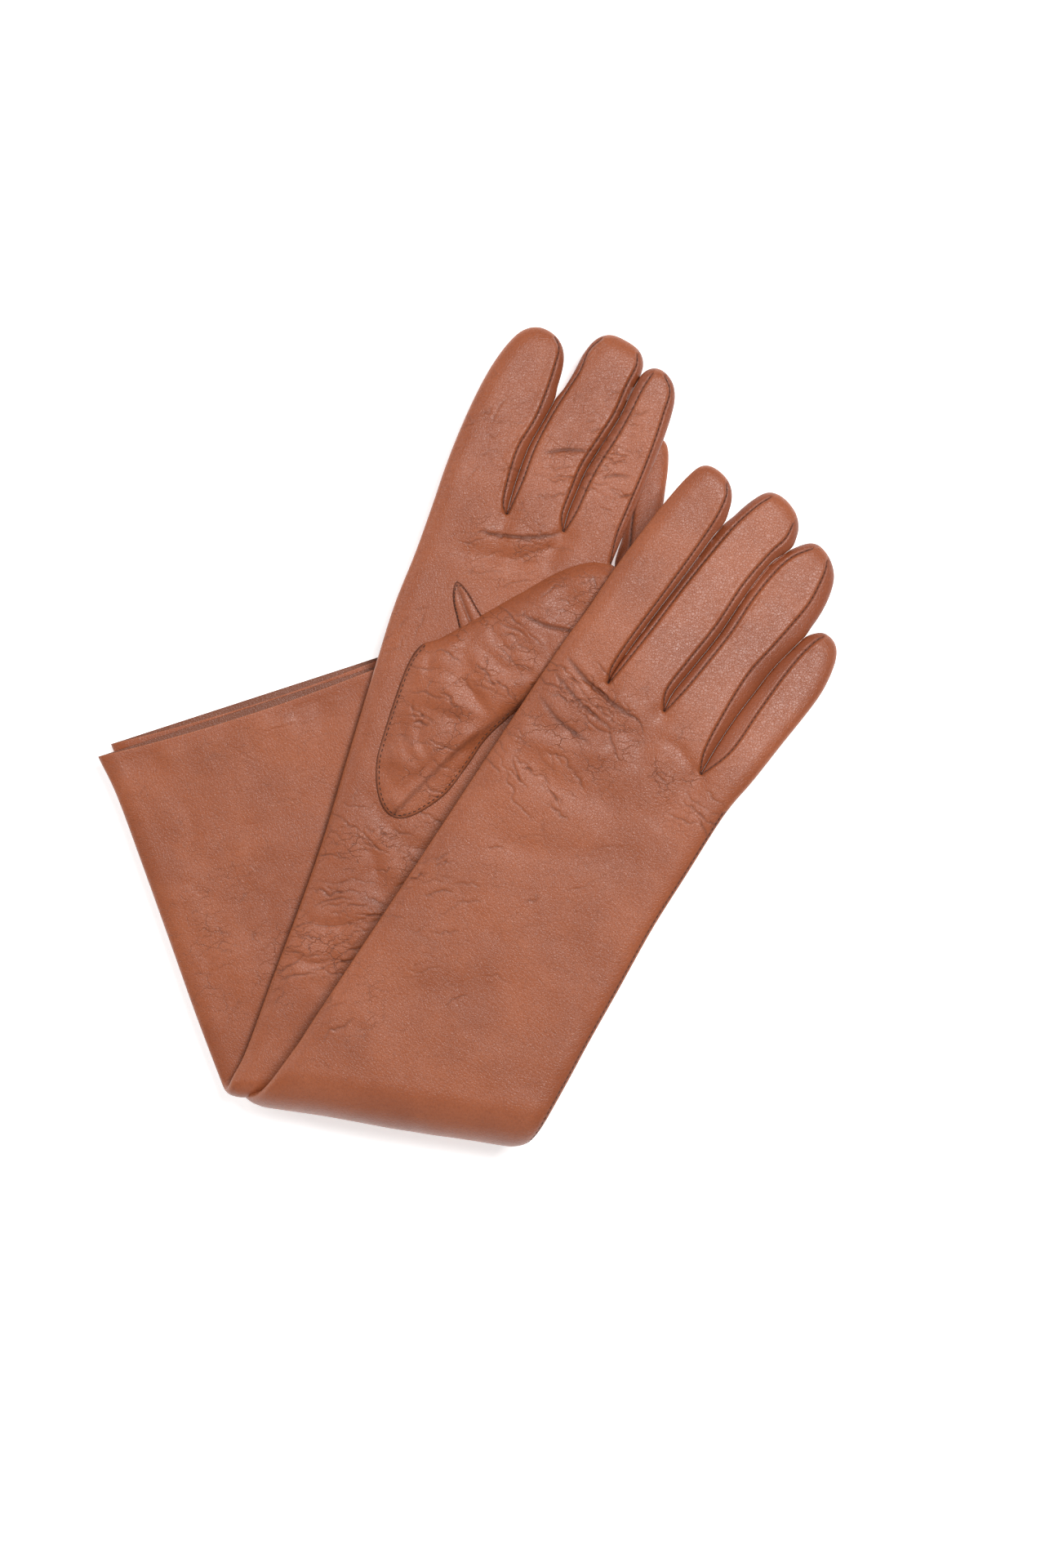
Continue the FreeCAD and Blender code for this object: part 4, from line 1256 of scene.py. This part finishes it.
class Paint:
    """A material put together from nodes."""

    def __init__(self, name):
        self.material = bpy.data.materials.new(name)
        self.material.use_nodes = True
        self.nodes = self.material.node_tree.nodes
        self.shader = self.nodes["Principled BSDF"].inputs

    def put(self, socket, value):
        """Join a wire to a socket, or set the socket to a plain value."""
        if isinstance(value, Wire):
            self.material.node_tree.links.new(value.socket, socket)
        else:
            socket.default_value = value

    def make(self, kind, settings=None, values=None, output=0):
        """A node with these settings and socket values, as the wire from one output."""
        node = self.nodes.new(kind)
        for key, value in (settings or {}).items():
            setattr(node, key, value)
        for key, value in (values or {}).items():
            self.put(node.inputs[key], value)
        return Wire(self, node.outputs[output])

    def blend(self, share, first, second):
        """The first colour turning into the second as the share goes from 0 to 1."""
        return self.make("ShaderNodeMix", {"data_type": "RGBA"},
                         {0: share, 6: first, 7: second}, 2)

    def noise(self, place, scale, detail=3.0, rough=0.5):
        """Cloudy variation, from 0 to 1."""
        return self.make("ShaderNodeTexNoise", None,
                         {"Vector": place, "Scale": scale, "Detail": detail,
                          "Roughness": rough})

    def cells(self, place, scale, feature):
        """Small irregular cells, like the grain of a skin."""
        return self.make("ShaderNodeTexVoronoi", {"feature": feature},
                         {"Vector": place, "Scale": scale})

    def mark(self, name):
        """A mark that a piece of leather carries: its dark seams with painted shade in creases and
        hollows, its rim or a net of creases.
        """
        return self.make("ShaderNodeAttribute", {"attribute_name": name}, None, "Fac")


def glove_leather(name, body, deep, pale, rim_paling):
    """Smooth dyed lambskin with fine grain, pores, hair creases, paler rims, dark seams and
    painted shade in its creases.
    """
    paint = Paint(name)
    place = paint.make("ShaderNodeUVMap", {"uv_map": "pattern"})
    clouds = paint.noise(place, 3.2, 2.0)
    mottle = paint.noise(place, 11.0, 4.0, 0.6)
    speckle = paint.noise(place, 105.0, 3.0, 0.6)
    grain = paint.cells(place, 110.0, "DISTANCE_TO_EDGE")
    pores = paint.cells(place, 70.0, "F1")
    stretch = paint.make("ShaderNodeMapping", {"vector_type": "POINT"},
                         {"Vector": place, "Rotation": (0.0, 0.0, 0.5),
                          "Scale": (1.0, 3.4, 1.0)})
    warp = paint.make("ShaderNodeTexNoise", None,
                      {"Vector": place, "Scale": 30.0, "Detail": 3.0}, "Color")
    shaken = paint.make("ShaderNodeVectorMath", {"operation": "MULTIPLY_ADD"},
                        {0: warp, 1: (0.05, 0.05, 0.0), 2: place})
    drawn = paint.make("ShaderNodeMapping", {"vector_type": "POINT"},
                       {"Vector": shaken, "Rotation": (0.0, 0.0, 0.2),
                        "Scale": (1.0, 2.0, 1.0)})
    nets = paint.cells(drawn, 15.0, "DISTANCE_TO_EDGE")
    fine_nets = paint.cells(drawn, 34.0, "DISTANCE_TO_EDGE")
    broken = paint.noise(place, 9.0, 2.0).between(0.42, 0.60)
    net = paint.mark("net")
    # The crease net is pressed in by the bump and darkened in the colour: painted shade in its
    # lines.
    crease_net_and_shade = (1.0 - nets.between(0.0, 0.045)) * broken * net
    fine_crease_net_and_shade = (1.0 - fine_nets.between(0.0, 0.07)) * (0.35 + 0.65 * net)
    hairs = paint.noise(stretch, 26.0, 5.0, 0.62)
    ridge = (hairs - 0.5) * (hairs - 0.5)
    hair_line = 1.0 - ridge.between(0.0, 0.0009)
    pore = 1.0 - pores.between(0.10, 0.30)
    seam, rim = paint.mark("seam"), paint.mark("rim")
    patch = clouds.between(0.35, 0.66)
    color = paint.blend(patch * 0.36, body, deep)
    color = paint.blend(mottle.between(0.46, 0.80) * 0.22, color, pale)
    color = paint.blend(speckle.between(0.46, 0.70) * 0.34, color, deep)
    color = paint.blend(hair_line * 0.18 * clouds, color, deep)
    # Painted shade in the crease net's lines.
    color = paint.blend(crease_net_and_shade * 0.62 + fine_crease_net_and_shade * 0.16, color, (0.10, 0.026, 0.012, 1.0))
    # Paler towards the rims and the cuff mouth.
    color = paint.blend(rim.between(0.35, 1.0) * rim_paling, color, pale)
    # Dark seams, and painted shade where the seam mark also carries the narrow creases, the
    # thumb's tuck and the gusset's valley.
    color = paint.blend(seam * 0.8, color, (0.055, 0.016, 0.009, 1.0))
    paint.put(paint.shader["Base Color"], color)
    rough = 0.34 + mottle * 0.12 - patch * 0.03 + hair_line * 0.05 + seam * 0.2
    paint.put(paint.shader["Roughness"], rough)
    paint.shader["Specular IOR Level"].default_value = 0.42
    height = (grain.between(0.0, 0.16) * 0.30 + speckle * 0.42 - pore * 0.24
              - hair_line * 0.15 * clouds + mottle * 0.5 - crease_net_and_shade * 1.1 - fine_crease_net_and_shade * 0.15)
    bump = paint.make("ShaderNodeBump", None,
                      {"Strength": 0.6, "Distance": 0.0002, "Height": height})
    paint.put(paint.shader["Normal"], bump)
    return paint.material


def sewing_thread(name, body):
    """Dull twisted cotton thread."""
    paint = Paint(name)
    place = paint.make("ShaderNodeTexCoord", None, None, "Object")
    twist = paint.make("ShaderNodeTexWave", {"bands_direction": "DIAGONAL"},
                       {"Vector": place, "Scale": 900.0, "Distortion": 1.5})
    dirt = paint.noise(place, 260.0)
    color = paint.blend(dirt.between(0.3, 0.7) * 0.6, body, (0.03, 0.012, 0.008, 1.0))
    paint.put(paint.shader["Base Color"], color)
    paint.put(paint.shader["Roughness"], 0.66 + twist * 0.2)
    bump = paint.make("ShaderNodeBump", None,
                      {"Strength": 0.5, "Distance": 0.00006, "Height": twist})
    paint.put(paint.shader["Normal"], bump)
    return paint.material


def table_paper(name):
    """The matt white top of a light table, glowing faintly."""
    paint = Paint(name)
    place = paint.make("ShaderNodeTexCoord", None, None, "Object")
    fibre = paint.noise(place, 420.0, 3.0)
    color = paint.blend(fibre, (0.93, 0.93, 0.93, 1.0), (0.96, 0.96, 0.96, 1.0))
    paint.put(paint.shader["Base Color"], color)
    paint.shader["Roughness"].default_value = 0.9
    paint.shader["Emission Color"].default_value = (1.0, 1.0, 1.0, 1.0)
    paint.shader["Emission Strength"].default_value = 0.5
    return paint.material


LEATHER_BODY = (0.298, 0.080, 0.029, 1.0)
LEATHER_DEEP = (0.180, 0.042, 0.015, 1.0)
LEATHER_PALE = (0.385, 0.120, 0.050, 1.0)
leather = glove_leather("cognac glove leather", LEATHER_BODY, LEATHER_DEEP, LEATHER_PALE, 0.5)
# A darker copy of the leather for the side strips: painted shade between and beside the fingers.
shaded_strip_leather = glove_leather("side strip leather", (0.250, 0.064, 0.024, 1.0),
                              (0.155, 0.037, 0.014, 1.0), LEATHER_BODY, 0.2)
hem_leather = glove_leather("turned cuff leather", (0.315, 0.086, 0.033, 1.0), LEATHER_DEEP,
                            LEATHER_PALE, 0.6)
# A darker copy of the leather for the inside of the cuff: painted shade inside its mouth.
shaded_inner_leather = glove_leather("inner cuff leather", (0.20, 0.060, 0.026, 1.0),
                              (0.14, 0.040, 0.017, 1.0), (0.24, 0.078, 0.036, 1.0), 0.0)
thread = sewing_thread("dark brown thread", (0.045, 0.014, 0.008, 1.0))

gloves = [Glove(RIGHT), Glove(LEFT)]
for glove in gloves:
    glove.build(leather, shaded_strip_leather, hem_leather, shaded_inner_leather, thread)
    build_thumb(glove, leather, thread)
    build_gusset(glove, leather, thread)
build_left_little(gloves[1], leather, shaded_strip_leather, thread)

# ---------------------------------------------------------------- table, light and camera
def flat_panel(name, width, height, place):
    """A flat rectangle lying level at a place."""
    mesh = bpy.data.meshes.new(name)
    half_width, half_height = width / 2, height / 2
    mesh.from_pydata([(-half_width, -half_height, 0), (half_width, -half_height, 0),
                      (half_width, half_height, 0), (-half_width, half_height, 0)], [],
                     [(0, 1, 2, 3)])
    panel = bpy.data.objects.new(name, mesh)
    panel.location = place
    bpy.context.scene.collection.objects.link(panel)
    return panel


def soft_light(name, place, aim, size, power):
    """A large square studio light."""
    lamp = bpy.data.lights.new(name, "AREA")
    lamp.shape = "SQUARE"
    lamp.size = size
    lamp.energy = power
    light = bpy.data.objects.new(name, lamp)
    light.location = place
    light.rotation_euler = (Vector(aim) - Vector(place)).to_track_quat("-Z", "Y").to_euler()
    bpy.context.scene.collection.objects.link(light)
    return light


low, high = np.array(cad_box[0]), np.array(cad_box[1])
centre = (low + high) / 2
span = high - low
table = flat_panel("table_top", 6.0, 6.0, (centre[0], centre[1], low[2] - 0.0002))
table.data.materials.append(table_paper("white table"))

scene = bpy.context.scene
world = bpy.data.worlds.new("studio")
scene.world = world
world.use_nodes = True
world.node_tree.nodes["Background"].inputs["Color"].default_value = (1.0, 1.0, 1.0, 1.0)
world.node_tree.nodes["Background"].inputs["Strength"].default_value = 0.25
soft_light("key_soft_light", (0.50, 0.42, 1.45), centre, 0.62, 25.0)
soft_light("left_soft_light", (-1.1, 0.5, 1.0), centre, 0.6, 7.0)
soft_light("low_fill_light", (-0.2, -1.25, 0.95), centre, 0.9, 3.0)

FRAME_HEIGHT = 1.895
FRAME_SHIFT = (0.079, -0.0565)
DISTANCE = 1.6
camera_data = bpy.data.cameras.new("camera")
camera = bpy.data.objects.new("camera", camera_data)
camera_data.sensor_fit = "VERTICAL"
camera_data.angle = 2 * math.atan(span[1] * FRAME_HEIGHT / 2 / DISTANCE)
camera.location = (centre[0] + span[0] * FRAME_SHIFT[0], centre[1] + span[1] * FRAME_SHIFT[1],
                   high[2] + DISTANCE)
scene.collection.objects.link(camera)
scene.camera = camera
scene.view_settings.view_transform = "Standard"
